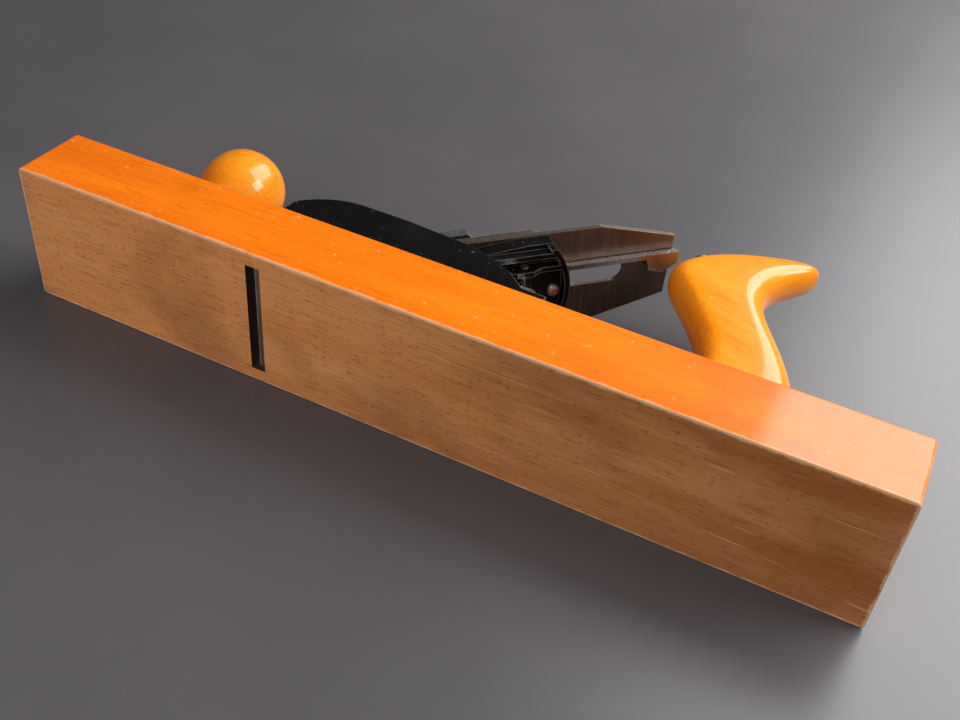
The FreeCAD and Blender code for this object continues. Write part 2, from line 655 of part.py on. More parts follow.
def slot_cut(body, low, high, half, depth_from, depth):
    """Cuts a round-ended slot along the bed between the centres of its two ends."""
    middle = box_outline(low, high, f"-{half}", half)
    cut(body, "XY", depth_from, depth, [middle], centred=True)
    cut(body, "XY", depth_from, depth, circles=[(low, "0", half), (high, "0", half)], centred=True)


def cutter():
    body = new_body("cutter", on_bed=True)
    half = "cutter_width / 2"
    blank = [
        (EDGE_S, f"-{half}"),
        ("cutter_clip_s", f"-{half}"),
        ("cutter_top_s", "-cutter_clip_half"),
        ("cutter_top_s", "cutter_clip_half"),
        ("cutter_clip_s", half),
        (EDGE_S, half),
    ]
    pad(body, "XY", "0", "cutter_thickness", [blank], backwards=True)
    bevel = [
        (EDGE_S, f"{CUTTER_FRONT} + 0.05"),
        (f"{EDGE_S} + cutter_thickness / tan(grind_angle * 1 deg)", "0"),
        (f"{EDGE_S} + cutter_thickness / tan(grind_angle * 1 deg)", "1"),
        (f"{EDGE_S} - 1", "1"),
        (f"{EDGE_S} - 1", f"{CUTTER_FRONT} + 0.05"),
    ]
    cut(body, "XZ", "0", "cutter_width + 2", [bevel], centred=True)
    slot_cut(body, "slot_low_s + slot_width / 2", "slot_high_s - slot_width / 2", "slot_width / 2", "0", "9")
    return body


def cap_iron():
    body = new_body("cap_iron", on_bed=True)
    low = f"({EDGE_S} + cap_iron_back)"
    end = f"({low} + hump_length)"
    peak = f"({low} + hump_length * 0.45)"
    side = [
        (low, CUTTER_FRONT),
        (f"{low} + 0.8", CUTTER_FRONT),
        (peak, f"{CUTTER_FRONT} - hump_rise + 0.6"),
        (end, CUTTER_FRONT),
        ("cap_iron_top_s", CUTTER_FRONT),
        ("cap_iron_top_s", IRON_FRONT),
        (f"{end} + 1.4", IRON_FRONT),
        (f"{peak} + 1.5", f"{CUTTER_FRONT} - hump_rise"),
        (f"{peak} - 1.5", f"{CUTTER_FRONT} - hump_rise"),
    ]
    pad(body, "XZ", "0", "cutter_width", [side], centred=True)
    soften(body, "Fillet", "5", lambda edge: along(edge, Y_AXIS) and hump_edge(edge))
    soften(body, "Fillet", "9", lambda edge: along(edge, Z_AXIS) and edge.BoundBox.XMin > 100)
    slot_cut(body, "lever_screw_s - 1.6", "lever_screw_s + 4", "lever_screw_radius + 1.3", "0", "12")
    half = "yoke_tip_half + 0.8"
    reach = "(yoke_tip_radius + 0.3)"
    hole = box_outline(f"yoke_s - {reach}", f"yoke_s + {reach}", f"-1 * ({half})", half)
    cut(body, "XY", "0", "12", [hole], centred=True)
    cut(body, "XY", "0", "12", circles=[("cap_screw_s", "0", "cap_screw_radius")], centred=True)
    return body


def hump_edge(edge):
    """The inner and outer bends where the hump rises from the flat of the cap iron."""
    low = size(f"{EDGE_S} + cap_iron_back")
    place = edge.CenterOfMass
    return low + 5 < place.x < low + size("hump_length") + 4 and place.z < size(CUTTER_FRONT) + 1e-3


def turned_on_bed(label, outline, s):
    """A piece turned about the bed's normal at a distance up the bed."""
    body = new_body(label, on_bed=True)
    body.setExpression("Placement.Base.x", full(f"bed_x - ({s}) * {COS}"))
    body.setExpression("Placement.Base.z", full(f"({s}) * {SIN}"))
    revolve(body, "XZ", outline, "V_Axis")
    return body


def cap_iron_screw():
    outline = [
        ("0", f"{IRON_FRONT} + 0.2"),
        ("cap_screw_radius - 0.05", f"{IRON_FRONT} + 0.2"),
        ("cap_screw_radius - 0.05", "0"),
        ("cap_screw_head", "0"),
        ("cap_screw_head", "cap_screw_head_depth - 0.6"),
        ("cap_screw_head - 0.6", "cap_screw_head_depth"),
        ("0", "cap_screw_head_depth"),
    ]
    body = turned_on_bed("cap_iron_screw", outline, "cap_screw_s")
    slot = box_outline("-0.8", "0.8", "-cap_screw_head - 1", "cap_screw_head + 1")
    cut(body, "XY", "cap_screw_head_depth + 0.2", "1.4", [slot])
    return body


# Lever cap -------------------------------------------------------------------------------------------

def lever_cap():
    body = new_body("lever_cap", on_bed=True)
    half = "lever_cap_width / 2"
    top = "lever_cap_top_half"
    outline = [
        ("lever_cap_low_s", f"-{half}"),
        ("lever_cap_waist_s", f"-{half}"),
        ("lever_cap_top_s - 8", f"-{top}", "-26"),
        ("lever_cap_top_s", f"-{top}"),
        ("lever_cap_top_s", top),
        ("lever_cap_top_s - 8", top),
        ("lever_cap_waist_s", half, "-26"),
        ("lever_cap_low_s", half),
    ]
    pad(body, "XY", CAP_BACK, "lever_cap_thickness", [outline], backwards=True)
    lip = [
        ("lever_cap_low_s - 1", f"{CAP_FRONT} - 1"),
        ("lever_cap_low_s + 8", f"{CAP_FRONT} - 1"),
        ("lever_cap_low_s + 8", CAP_FRONT),
        ("lever_cap_low_s", f"{CAP_BACK} - 1.4"),
        ("lever_cap_low_s - 1", f"{CAP_BACK} - 1.4"),
    ]
    cut(body, "XZ", "0", "lever_cap_width + 4", [lip], centred=True)
    crest = f"({CAM_D} - cam_pin_radius - 2.4)"
    ears = [
        ("lever_cap_top_s - 17", f"{CAP_FRONT} + 1"),
        ("lever_cap_top_s - 9", crest),
        ("lever_cap_top_s - 1", crest),
        ("lever_cap_top_s", f"{crest} + 1"),
        ("lever_cap_top_s", f"{CAP_FRONT} + 1"),
    ]
    span = f"({top} - cam_half_width - 0.3)"
    for mirror in ("1", "-1"):
        middle = f"{mirror} * ({top} - {span} / 2)"
        pad(body, "XZ", middle, span, [ears], centred=True)
    bay = box_outline("cam_s - cam_radius - 1.2", "lever_cap_top_s + 1", "-cam_half_width - 0.3",
                      "cam_half_width + 0.3")
    cut(body, "XY", "5", "60", [bay])
    wide = "lever_screw_head + 0.7"
    narrow = "lever_screw_radius + 0.4"
    drop = "(lever_screw_s - keyhole_drop)"
    cut(body, "XY", "5", "60", [box_outline(drop, "lever_screw_s", f"-1 * ({narrow})", narrow)])
    cut(body, "XY", "5", "60", circles=[("lever_screw_s", "0", narrow)])
    cut(body, "XY", "5", "60", circles=[(drop, "0", wide)])
    pin_hole = ("cam_s", CAM_D, "cam_pin_radius")
    cut(body, "XZ", "0", f"2 * {top} + 2", circles=[pin_hole], centred=True)
    return body


def lever_cap_screw():
    seat = f"({CAP_FRONT} - 0.3)"
    outline = [
        ("0", f"{seat} - 2.8"),
        ("lever_screw_head - 0.8", f"{seat} - 2.8"),
        ("lever_screw_head", f"{seat} - 2"),
        ("lever_screw_head", seat),
        ("lever_screw_radius - 0.05", seat),
        ("lever_screw_radius - 0.05", "frog_plate - 3.5"),
        ("0", "frog_plate - 3.5"),
    ]
    body = turned_on_bed("lever_cap_screw", outline, "lever_screw_s")
    slot = box_outline("-0.8", "0.8", "-lever_screw_head - 1", "lever_screw_head + 1")
    cut(body, "XY", f"{seat} - 3", "1.6", [slot], backwards=True)
    return body


def cam_lever():
    """The cam nose, and the thumb lever that lies up the bed from its pin."""
    body = new_body("cam_lever", on_bed=True)
    nose = [("cam_s", CAM_D, "cam_radius")]
    pad(body, "XZ", "0", "2 * cam_half_width", circles=nose, centred=True)
    tail = "(cam_s + cam_lever_length)"
    low, high = f"({CAM_D} + cam_radius * 0.2)", f"({CAM_D} - cam_radius)"
    lever = [
        ("cam_s", f"{CAM_D} + cam_radius * 0.4"),
        ("lever_cap_top_s + 2", low),
        (f"{tail} - 4", f"{low} - 1.6"),
        (tail, f"{low} - 4.2"),
        (f"{tail} - 2", f"{high} - 2.6"),
        (f"{tail} - 7", f"{high} - 1.4"),
        ("lever_cap_top_s + 6", f"{high} + 0.4"),
        ("cam_s", high),
    ]
    pad(body, "XZ", "0", "2 * cam_half_width", [lever], centred=True)
    for mirror in ("1", "-1"):
        wing = [
            ("lever_cap_top_s + 1.6", low),
            (f"{tail} - 4", f"{low} - 1.6"),
            (tail, f"{low} - 4.2"),
            (f"{tail} - 2", f"{high} - 2.6"),
            (f"{tail} - 7", f"{high} - 1.4"),
            ("lever_cap_top_s + 6", f"{high} + 0.4"),
            ("lever_cap_top_s + 1.6", f"{high} + 0.2"),
        ]
        middle = f"{mirror} * (cam_half_width + 1.2)"
        pad(body, "XZ", middle, "3.4", [wing], centred=True)
    side = "(cam_half_width + 2.9)"
    for mirror in ("1", "-1"):
        corner = [
            (tail, f"{mirror} * ({side} - 6)"),
            (f"{tail} - 6", f"{mirror} * {side}", f"{mirror} * 6"),
            (f"{tail} - 6", f"{mirror} * ({side} + 2)"),
            (f"{tail} + 3", f"{mirror} * ({side} + 2)"),
            (f"{tail} + 3", f"{mirror} * ({side} - 6)"),
        ]
        cut(body, "XY", "0", "60", [corner])
    pin_hole = ("cam_s", CAM_D, "cam_pin_radius + running_gap")
    cut(body, "XZ", "0", "4 * cam_half_width", circles=[pin_hole], centred=True)
    return body


def cam_pin():
    pin = Part.makeCylinder(size("cam_pin_radius"), size("2 * lever_cap_top_half - 0.2"))
    pin.translate(FreeCAD.Vector(0, 0, -size("lever_cap_top_half - 0.1")))
    pin.rotate(FreeCAD.Vector(0, 0, 0), X_AXIS, 90)
    place = FreeCAD.Vector(size(bed_x_at("cam_s", CAM_D)), 0, size(f"cam_s * {SIN} - {CAM_D} * {COS}"))
    pin.translate(place)
    return shape_feature("cam_pin", pin)


def lever_cap_spring():
    """Leaf under the lever cap, bent down to the cap iron where the cam bears on it."""
    body = new_body("lever_cap_spring", on_bed=True)
    low = f"{IRON_FRONT} - 0.3"
    side = [
        ("cam_s + 7", low),
        ("cam_s + 7", f"{low} - spring_thickness"),
        ("cam_s - 8", f"{low} - spring_thickness"),
        ("lever_screw_s + 9", CAP_BACK),
        ("lever_screw_s + 5", CAP_BACK),
        ("lever_screw_s + 5", f"{CAP_BACK} + spring_thickness"),
        ("lever_screw_s + 9", f"{CAP_BACK} + spring_thickness"),
        ("cam_s - 8", low),
    ]
    pad(body, "XZ", "0", "16", [side], centred=True)
    place = ("lever_screw_s + 7", "5", "1.2")
    other = ("lever_screw_s + 7", "-5", "1.2")
    cut(body, "XY", "5", "60", circles=[place, other])
    return body


def spring_rivets():
    rivets = []
    for y in (5, -5):
        shank = Part.makeCylinder(1.15, size("spring_thickness"))
        head = Part.makeCone(1.15, 2.0, 0.7)
        head.rotate(FreeCAD.Vector(0, 0, 0), X_AXIS, 180)
        head.translate(FreeCAD.Vector(0, 0, size("spring_thickness") + 0.7))
        rivet = shank.fuse(head)
        rivet.translate(FreeCAD.Vector(size("lever_screw_s + 7"), y, size(CAP_BACK)))
        rivets.append(rivet)
    group = Part.makeCompound(rivets)
    turn = FreeCAD.Rotation(FreeCAD.Vector(0, 1, 0), size("bed_angle") - 180)
    made = shape_feature("spring_rivets", group)
    made.Placement = FreeCAD.Placement(FreeCAD.Vector(size("bed_x"), 0, 0), turn)
    return made


# Depth adjustment ------------------------------------------------------------------------------------

def adjusting_yoke():
    body = new_body("adjusting_yoke", on_bed=True)
    hub = [("yoke_s", "yoke_d", "yoke_hub_radius")]
    pad(body, "XZ", "0", "2 * yoke_arm_outer", circles=hub, centred=True)
    neck = box_outline("yoke_s - yoke_tip_radius", "yoke_s + yoke_tip_radius", TIP_D, "yoke_d")
    pad(body, "XZ", "0", "2 * yoke_tip_half", [neck], centred=True)
    tip = [("yoke_s", TIP_D, "yoke_tip_radius")]
    pad(body, "XZ", "0", "2 * yoke_tip_half", circles=tip, centred=True)
    drop = f"({PIN_Z} - {FORK_Z})"
    fork_s, fork_d = f"(yoke_s - {drop} * {SIN})", f"(yoke_d + {drop} * {COS})"
    half_s, half_d = f"yoke_arm_half * {COS}", f"yoke_arm_half * {SIN}"
    arm = [
        (f"yoke_s - {half_s}", f"yoke_d - {half_d}"),
        (f"yoke_s + {half_s}", f"yoke_d + {half_d}"),
        (f"{fork_s} + {half_s}", f"{fork_d} + {half_d}"),
        (f"{fork_s} - {half_s}", f"{fork_d} - {half_d}"),
    ]
    pad_half = f"(yoke_arm_outer - yoke_arm_inner)"
    for mirror in ("1", "-1"):
        middle = f"{mirror} * (yoke_arm_outer + yoke_arm_inner) / 2"
        pad(body, "XZ", middle, pad_half, [arm], centred=True)
        end = [(fork_s, fork_d, "yoke_arm_half")]
        pad(body, "XZ", middle, pad_half, circles=end, centred=True)
    pin_hole = ("yoke_s", "yoke_d", "yoke_pin_radius + running_gap")
    cut(body, "XZ", "0", "4 * yoke_arm_outer", circles=[pin_hole], centred=True)
    return body


def yoke_pin():
    length = size("2 * frog_rib_y + frog_rib + 0.8")
    pin = Part.makeCylinder(size("yoke_pin_radius"), length)
    pin.translate(FreeCAD.Vector(0, 0, -length / 2))
    pin.rotate(FreeCAD.Vector(0, 0, 0), X_AXIS, 90)
    pin.translate(FreeCAD.Vector(size(FORK_X), 0, size(PIN_Z)))
    return shape_feature("yoke_pin", pin)


def level_turning(label, outline):
    """A piece turned about the wheel's level axis; outline x runs to the toe, y is the radius."""
    body = new_body(label)
    body.setExpression("Placement.Base.z", full("wheel_z"))
    revolve(body, "XZ", outline, "H_Axis")
    return body


def adjusting_stud():
    front = bed_x_at(bed_s_at_height("wheel_z", STUD_DEPTH), STUD_DEPTH)
    outline = [
        ("stud_back_x", "0"),
        ("stud_back_x", "stud_radius - 0.8"),
        ("stud_back_x + 0.8", "stud_radius - 0.05"),
        (front, "stud_radius - 0.05"),
        (front, "0"),
    ]
    return level_turning("adjusting_stud", outline)


def wheel_bush():
    back = f"({FORK_X} - groove_back - wheel_rim_width + 1)"
    front = f"({FORK_X} + groove_front + wheel_flange_width)"
    bore = "stud_radius + running_gap"
    outline = [(back, bore), (front, bore), (front, f"{bore} + bush_wall"), (back, f"{bore} + bush_wall")]
    return level_turning("wheel_bush", outline)


def adjusting_wheel():
    groove_back = f"({FORK_X} - groove_back)"
    groove_front = f"({FORK_X} + groove_front)"
    back = f"({groove_back} - wheel_rim_width)"
    front = f"({groove_front} + wheel_flange_width)"
    bore = "stud_radius + bush_wall + 2 * running_gap"
    outline = [
        (back, bore),
        (front, bore),
        (front, "wheel_flange_radius"),
        (groove_front, "wheel_flange_radius"),
        (groove_front, "wheel_core_radius"),
        (groove_back, "wheel_core_radius"),
        (groove_back, "wheel_radius - 0.8"),
        (f"{groove_back} - 0.8", "wheel_radius"),
        (f"{back} + 0.8", "wheel_radius"),
        (back, "wheel_radius - 0.8"),
    ]
    body = level_turning("adjusting_wheel", outline)
    flute = cut(body, "YZ", f"{groove_back} + 1", "wheel_rim_width + 2",
                circles=[("0", "wheel_radius + 0.25", "0.7")])
    pattern = body.newObject("PartDesign::PolarPattern", "knurl")
    pattern.Originals = [flute]
    pattern.Axis = ([axis for axis in body.Origin.OriginFeatures if axis.Role == "X_Axis"][0], [""])
    pattern.Angle = 360
    pattern.setExpression("Occurrences", full("knurl_count"))
    body.Tip = pattern
    doc.recompute()
    return body


# Lateral adjustment ----------------------------------------------------------------------------------

def lateral_lever():
    body = new_body("lateral_lever", on_bed=True)
    front = "lateral_gap"
    plate = [
        ("roller_s - 1", "-4.2"),
        ("lateral_pivot_s + 1", "-8"),
        ("lateral_pivot_s + 8", "-5.5"),
        ("lateral_pivot_s + 9", "lateral_bar_y - lateral_bar_width / 2"),
        ("lateral_pivot_s + 9", "lateral_bar_y + lateral_bar_width / 2"),
        ("lateral_pivot_s + 1", "lateral_bar_y + 1.6"),
        ("roller_s - 1", "4.2"),
    ]
    pad(body, "XY", front, "lateral_plate", [plate])
    pad(body, "XY", front, "lateral_plate", circles=[("roller_s", "0", "4.4")])
    bar_low, bar_high = "lateral_bar_y - lateral_bar_width / 2", "lateral_bar_y + lateral_bar_width / 2"
    bar = box_outline("lateral_pivot_s + 8.4", "lateral_end_s", bar_low, bar_high)
    pad(body, "XY", front, "lateral_plate + 0.6", [bar])
    thumb = [
        ("thumb_low_s", bar_low),
        ("thumb_low_s + 2", "lateral_bar_y - 7.4"),
        ("thumb_low_s + 9", "lateral_bar_y - 9.2"),
        ("lateral_end_s", "lateral_bar_y - 5"),
        ("lateral_end_s", bar_high),
        ("thumb_low_s", bar_high),
    ]
    pad(body, "XY", f"{front} + 0.8", "lateral_plate - 0.2", [thumb])
    rivet = ("lateral_pivot_s", "0", "lateral_rivet_radius + running_gap")
    pin = ("roller_s", "0", "roller_pin_radius")
    cut(body, "XY", "-3", "20", circles=[rivet], backwards=True)
    cut(body, "XY", "-3", "20", circles=[pin], backwards=True)
    return body


def lateral_rivet():
    back = "frog_plate"
    outline = [
        ("0", "lateral_gap + 0.2"),
        ("lateral_rivet_radius - 0.05", "lateral_gap + 0.2"),
        ("lateral_rivet_radius - 0.05", back),
        ("lateral_rivet_head", back),
        ("lateral_rivet_head", f"{back} + 0.8"),
        ("lateral_rivet_head * 0.85", f"{back} + 1.6"),
        ("lateral_rivet_head * 0.5", f"{back} + 2.1"),
        ("0", f"{back} + 2.1"),
    ]
    return turned_on_bed("lateral_rivet", outline, "lateral_pivot_s")


def lateral_roller():
    outer = "slot_width / 2 - roller_gap"
    bore = "roller_pin_radius + running_gap"
    outline = [
        (bore, f"{CUTTER_FRONT} + 0.3"),
        (outer, f"{CUTTER_FRONT} + 0.3"),
        (outer, "lateral_gap - 0.1"),
        (bore, "lateral_gap - 0.1"),
    ]
    return turned_on_bed("lateral_roller", outline, "roller_s")


def roller_pin():
    outline = [
        ("0", f"{CUTTER_FRONT} + 0.3"),
        ("roller_pin_radius", f"{CUTTER_FRONT} + 0.3"),
        ("roller_pin_radius", "lateral_gap + lateral_plate"),
        ("0", "lateral_gap + lateral_plate"),
    ]
    return turned_on_bed("roller_pin", outline, "roller_s")


# Knob ------------------------------------------------------------------------------------------------

def front_knob():
    body = new_body("front_knob")
    body.setExpression("Placement.Base.x", full("knob_x"))
    body.setExpression("Placement.Base.z", full(TOP_Z))
    hole = "rod_radius + 0.4"
    sink = "nut_radius + 0.2"
    outline = [
        (hole, "0"),
        ("knob_base_radius", "0"),
        ("knob_base_radius", "3.4", "1.8"),
        ("knob_waist_radius", "11", "-12"),
        ("knob_radius - 4.5", "27", "-24"),
        ("knob_radius", "knob_height - 18", "26"),
        ("knob_radius - 9", "knob_height - 2", "19"),
        (sink, "knob_height", "30"),
        (sink, "knob_height - 7"),
        (hole, "knob_height - 7"),
    ]
    revolve(body, "XZ", outline, "V_Axis")
    return body


def upright_turning(label, x, outline):
    body = new_body(label)
    body.setExpression("Placement.Base.x", full(x))
    body.setExpression("Placement.Base.z", full(TOP_Z))
    revolve(body, "XZ", outline, "V_Axis")
    return body


def knob_rod():
    top = "knob_height - 2"
    outline = [
        ("0", "-insert_length + 1"),
        ("rod_radius", "-insert_length + 1"),
        ("rod_radius", top),
        ("0", top),
    ]
    return upright_turning("knob_rod", "knob_x", outline)


def barrel_nut():
    """Slotted barrel nut, head up, built with its head's top at the origin."""
    head, bore = size("nut_radius"), size("rod_radius")
    barrel = Part.makeCylinder(head, 5.4).cut(Part.makeCylinder(bore, 3.8))
    barrel.translate(FreeCAD.Vector(0, 0, -5.4))
    slot = Part.makeBox(2 * head + 2, 1.5, 1.4)
    slot.translate(FreeCAD.Vector(-head - 1, -0.75, -1.2))
    return barrel.cut(slot)


def knob_nut():
    nut = barrel_nut()
    nut.translate(FreeCAD.Vector(size("knob_x"), 0, size(f"{TOP_Z} + knob_height - 0.4")))
    return shape_feature("knob_nut", nut)


def insert_outline():
    return [
        ("rod_radius", "-insert_length"),
        ("insert_radius - 0.05", "-insert_length"),
        ("insert_radius - 0.05", "-0.2"),
        ("rod_radius", "-0.2"),
    ]


def knob_insert():
    return upright_turning("knob_insert", "knob_x", insert_outline())


# Tote ------------------------------------------------------------------------------------------------

# The tote's outline over its seat, from its rear foot, for a tote as tall as the pattern.
PATTERN_HEIGHT = 127.0
TOTE_FRONT = [(77, -5), (76, 0), (73.4, 5), (63, 10), (53.5, 19), (51.5, 30), (56.5, 43), (64, 56), (72.5, 69), (80.5, 78),
              (84.3, 85), (82.5, 92.5), (77, 101), (70, 109), (60, 117), (49, 123.2), (39, 126.4), (32.5, 127)]
TOTE_BACK = [(28.5, 125), (24.8, 120), (25.6, 113), (30.5, 105.5), (36, 99), (39.3, 91.5), (39, 83), (35.5, 73),
             (29, 62), (21.5, 51), (15.5, 40), (11.5, 28), (7.5, 14), (3, 0), (1.5, -5)]


def tote_blank():
    scale = size("tote_height") / PATTERN_HEIGHT
    points = [FreeCAD.Vector(x * scale, 0, z * scale) for x, z in TOTE_FRONT + TOTE_BACK]
    curve = Part.BSplineCurve()
    curve.interpolate(points)
    wire = Part.Wire([curve.toShape(), Part.LineSegment(points[-1], points[0]).toShape()])
    half = size("tote_thickness") / 2
    face = Part.Face(wire)
    face.translate(FreeCAD.Vector(0, -half, 0))
    blank = face.extrude(FreeCAD.Vector(0, 2 * half, 0))
    rims = [edge for edge in blank.Edges if edge.BoundBox.YLength < 0.01 and edge.BoundBox.ZLength > 1]
    below = Part.makeBox(200, 60, 40, FreeCAD.Vector(-50, -30, -40))
    return blank.makeFillet(size("tote_round"), rims).cut(below)


def tote_rod_line():
    """Foot of the rod on the seat, and its direction, in the row frame."""
    lean = math.radians(size("tote_rod_lean"))
    foot = FreeCAD.Vector(size("tote_rod_x"), 0, size(TOP_Z))
    return foot, FreeCAD.Vector(math.sin(lean), 0, math.cos(lean))


def tote_rod_top():
    """Distance up the rod's line to the top of its nut, just under the tote's top."""
    return size("tote_height") * 0.9


def tilted(shape, distance):
    """Moves an upright shape to a distance up the tote rod's line."""
    foot, direction = tote_rod_line()
    shape.rotate(FreeCAD.Vector(0, 0, 0), Y_AXIS, size("tote_rod_lean"))
    shape.translate(foot + direction * distance)
    return shape


def tote():
    blank = tote_blank()
    blank.translate(FreeCAD.Vector(size("tote_x"), 0, size(TOP_Z)))
    top = tote_rod_top()
    bore = tilted(Part.makeCylinder(size("rod_radius") + 0.4, top + 20), -15)
    sink = tilted(Part.makeCylinder(size("nut_radius") + 0.2, 60), top - 6)
    toe_x = size("toe_screw_x")
    toe = Part.makeCylinder(size("frame_screw_radius") + 0.1, 30, FreeCAD.Vector(toe_x, 0, size(TOP_Z) - 1))
    toe_sink = Part.makeCylinder(size("frame_screw_head") + 0.2, 40, FreeCAD.Vector(toe_x, 0, size(TOP_Z) + 6))
    return shape_feature("tote", blank.cut(bore).cut(sink).cut(toe).cut(toe_sink))


def tote_rod():
    rod = tilted(Part.makeCylinder(size("rod_radius"), tote_rod_top() + size("insert_length") - 5),
                 3 - size("insert_length"))
    return shape_feature("tote_rod", rod)


def tote_nut():
    return shape_feature("tote_nut", tilted(barrel_nut(), tote_rod_top()))


def tote_insert():
    insert = Part.makeCylinder(size("insert_radius") - 0.05, size("insert_length"))
    insert = insert.cut(Part.makeCylinder(size("rod_radius"), size("insert_length")))
    return shape_feature("tote_insert", tilted(insert, -size("insert_length") - 2.6))


def toe_screw():
    head, radius = size("frame_screw_head"), size("frame_screw_radius") - 0.05
    depth = head - size("frame_screw_radius")
    screw = slotted_screw(size("toe_screw_x"), 0, size(TOP_Z) + 6 + depth, head, depth, radius, 22)
    return shape_feature("toe_screw", screw)


BUILDERS = [
    wood_body, top_frame, frame_screws, frog, frog_screws, frog_washers, cutter, cap_iron, cap_iron_screw,
    lever_cap, lever_cap_screw, cam_lever, cam_pin, lever_cap_spring, spring_rivets, adjusting_yoke, yoke_pin,
    adjusting_stud, wheel_bush, adjusting_wheel, lateral_lever, lateral_rivet, lateral_roller, roller_pin,
    front_knob, knob_rod, knob_nut, knob_insert, tote, tote_rod, tote_nut, tote_insert, toe_screw,
]

nodes = [build_piece() for build_piece in BUILDERS]
doc.recompute()

failed = [item.Label for item in doc.Objects if "Invalid" in item.State or "Error" in item.State]
if failed:
    sys.exit(f"failed objects: {failed}")
for node in nodes:
    if node.Shape.isNull() or not node.Shape.isValid() or node.Shape.Volume <= 0:
        sys.exit(f"{node.Label} has no sound shape")

os.makedirs("parts", exist_ok=True)
for node in nodes:
    node.Shape.exportStep(f"{PARTS}/{node.Label}.step")
print(len(nodes), "nodes written")
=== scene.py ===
"""A wood-bottomed bench plane, lying on its right cheek on a bench top.

Finishes for every iron and wooden piece, a rounded tote in place of the plain one, and the bench,
lamps and camera. Metres; +X to the toe, +Y to the left, +Z up from the sole.
"""

import math

import bpy
from mathutils import Matrix, Vector


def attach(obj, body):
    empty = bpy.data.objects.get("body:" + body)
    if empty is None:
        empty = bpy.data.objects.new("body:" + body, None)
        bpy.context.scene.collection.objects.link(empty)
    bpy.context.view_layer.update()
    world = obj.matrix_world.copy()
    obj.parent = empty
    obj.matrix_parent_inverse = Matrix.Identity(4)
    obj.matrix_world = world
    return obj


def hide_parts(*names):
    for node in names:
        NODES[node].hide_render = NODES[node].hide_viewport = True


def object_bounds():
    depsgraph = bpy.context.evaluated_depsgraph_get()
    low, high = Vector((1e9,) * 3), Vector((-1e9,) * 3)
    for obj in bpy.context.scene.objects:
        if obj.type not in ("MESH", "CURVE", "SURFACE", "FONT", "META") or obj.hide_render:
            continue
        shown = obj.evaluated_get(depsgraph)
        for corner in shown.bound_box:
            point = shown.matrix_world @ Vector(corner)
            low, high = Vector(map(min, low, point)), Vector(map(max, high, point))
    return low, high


bl_info = {
    "name": "Wood-Bottomed Bench Plane",
    "version": (1, 0, 0),
    "blender": (4, 5, 0),
    "location": "3D View > Sidebar > Plane",
    "description": "Finishes a wood-bottomed bench plane and sets it on a bench",
    "category": "Object",
}

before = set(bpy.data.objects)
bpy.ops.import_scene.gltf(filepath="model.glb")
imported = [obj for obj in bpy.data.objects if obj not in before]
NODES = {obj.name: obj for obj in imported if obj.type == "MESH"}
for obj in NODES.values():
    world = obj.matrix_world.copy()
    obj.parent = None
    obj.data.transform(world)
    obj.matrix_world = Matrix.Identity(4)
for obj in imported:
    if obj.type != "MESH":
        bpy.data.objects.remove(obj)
CAD_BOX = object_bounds()

# Half the stock's width and length, and its thickness.
HALF_WIDTH, HALF_LENGTH, STOCK_TOP = 0.033, 0.1905, 0.0362

# The tote's rear foot, then its sections from foot to horn: a point on the front and one on the back,
# in millimetres from that foot, and half the thickness.
TOTE_FOOT = (-0.1505, STOCK_TOP)
TOTE_SECTIONS = (
    ((76, 0), (3, 0), 11), ((75, 2.5), (3.6, 3), 11), ((70, 7), (5, 7), 11), ((60, 12), (7.5, 14), 11),
    ((53.5, 19), (9.5, 21), 11), ((51.5, 30), (12.5, 31), 11), ((56.5, 43), (18, 45), 11),
    ((64, 56), (25.5, 57), 11), ((72.5, 69), (33, 68.5), 11), ((80, 77.5), (37.5, 78), 11),
    ((84, 85), (39.2, 85), 11), ((82.5, 92.5), (39.3, 91.5), 11), ((77, 101), (37.5, 96), 10.8),
    ((70, 109), (35, 100.5), 10.4), ((60, 117), (31.2, 104.6), 9.6), ((49, 123), (27.8, 109), 8.8),
    ((40, 126.4), (25.6, 113.5), 8), ((32.5, 127), (24.9, 119), 6.4), ((29.5, 126), (25.4, 122), 4),
)


# Node helpers ---------------------------------------------------------------------------------------

def add(tree, kind, **values):
    """Adds a shader node; values set its own properties, or its inputs by name with spaces as _."""
    node = tree.nodes.new("ShaderNode" + kind)
    for name, value in values.items():
        if hasattr(node, name):
            setattr(node, name, value)
        else:
            node.inputs[name.replace("_", " ")].default_value = value
    return node


def wire(tree, *pairs):
    for source, target in pairs:
        tree.links.new(source, target)


def blend_colours(tree, amount, low, high, kind="MIX"):
    """Mixes two colours by a mask; each may be a socket or a plain colour."""
    node = add(tree, "Mix", data_type="RGBA", blend_type=kind)
    for value, socket in ((amount, node.inputs[0]), (low, node.inputs[6]), (high, node.inputs[7])):
        if isinstance(value, bpy.types.NodeSocket):
            tree.links.new(value, socket)
        else:
            socket.default_value = value if isinstance(value, float) else (*value[:3], 1.0)
    return node.outputs[2]


def compute(tree, operation, first, second=0.5, third=0.5, clamp=False):
    node = add(tree, "Math", operation=operation, use_clamp=clamp)
    for value, socket in zip((first, second, third), node.inputs):
        if isinstance(value, bpy.types.NodeSocket):
            tree.links.new(value, socket)
        else:
            socket.default_value = value
    return node.outputs[0]


def band(tree, value, low, high, out_low=0.0, out_high=1.0):
    """A smooth ramp of a value between two limits."""
    node = add(tree, "MapRange", interpolation_type="SMOOTHSTEP")
    tree.links.new(value, node.inputs["Value"])
    for name, number in (("From Min", low), ("From Max", high), ("To Min", out_low), ("To Max", out_high)):
        node.inputs[name].default_value = number
    return node.outputs["Result"]


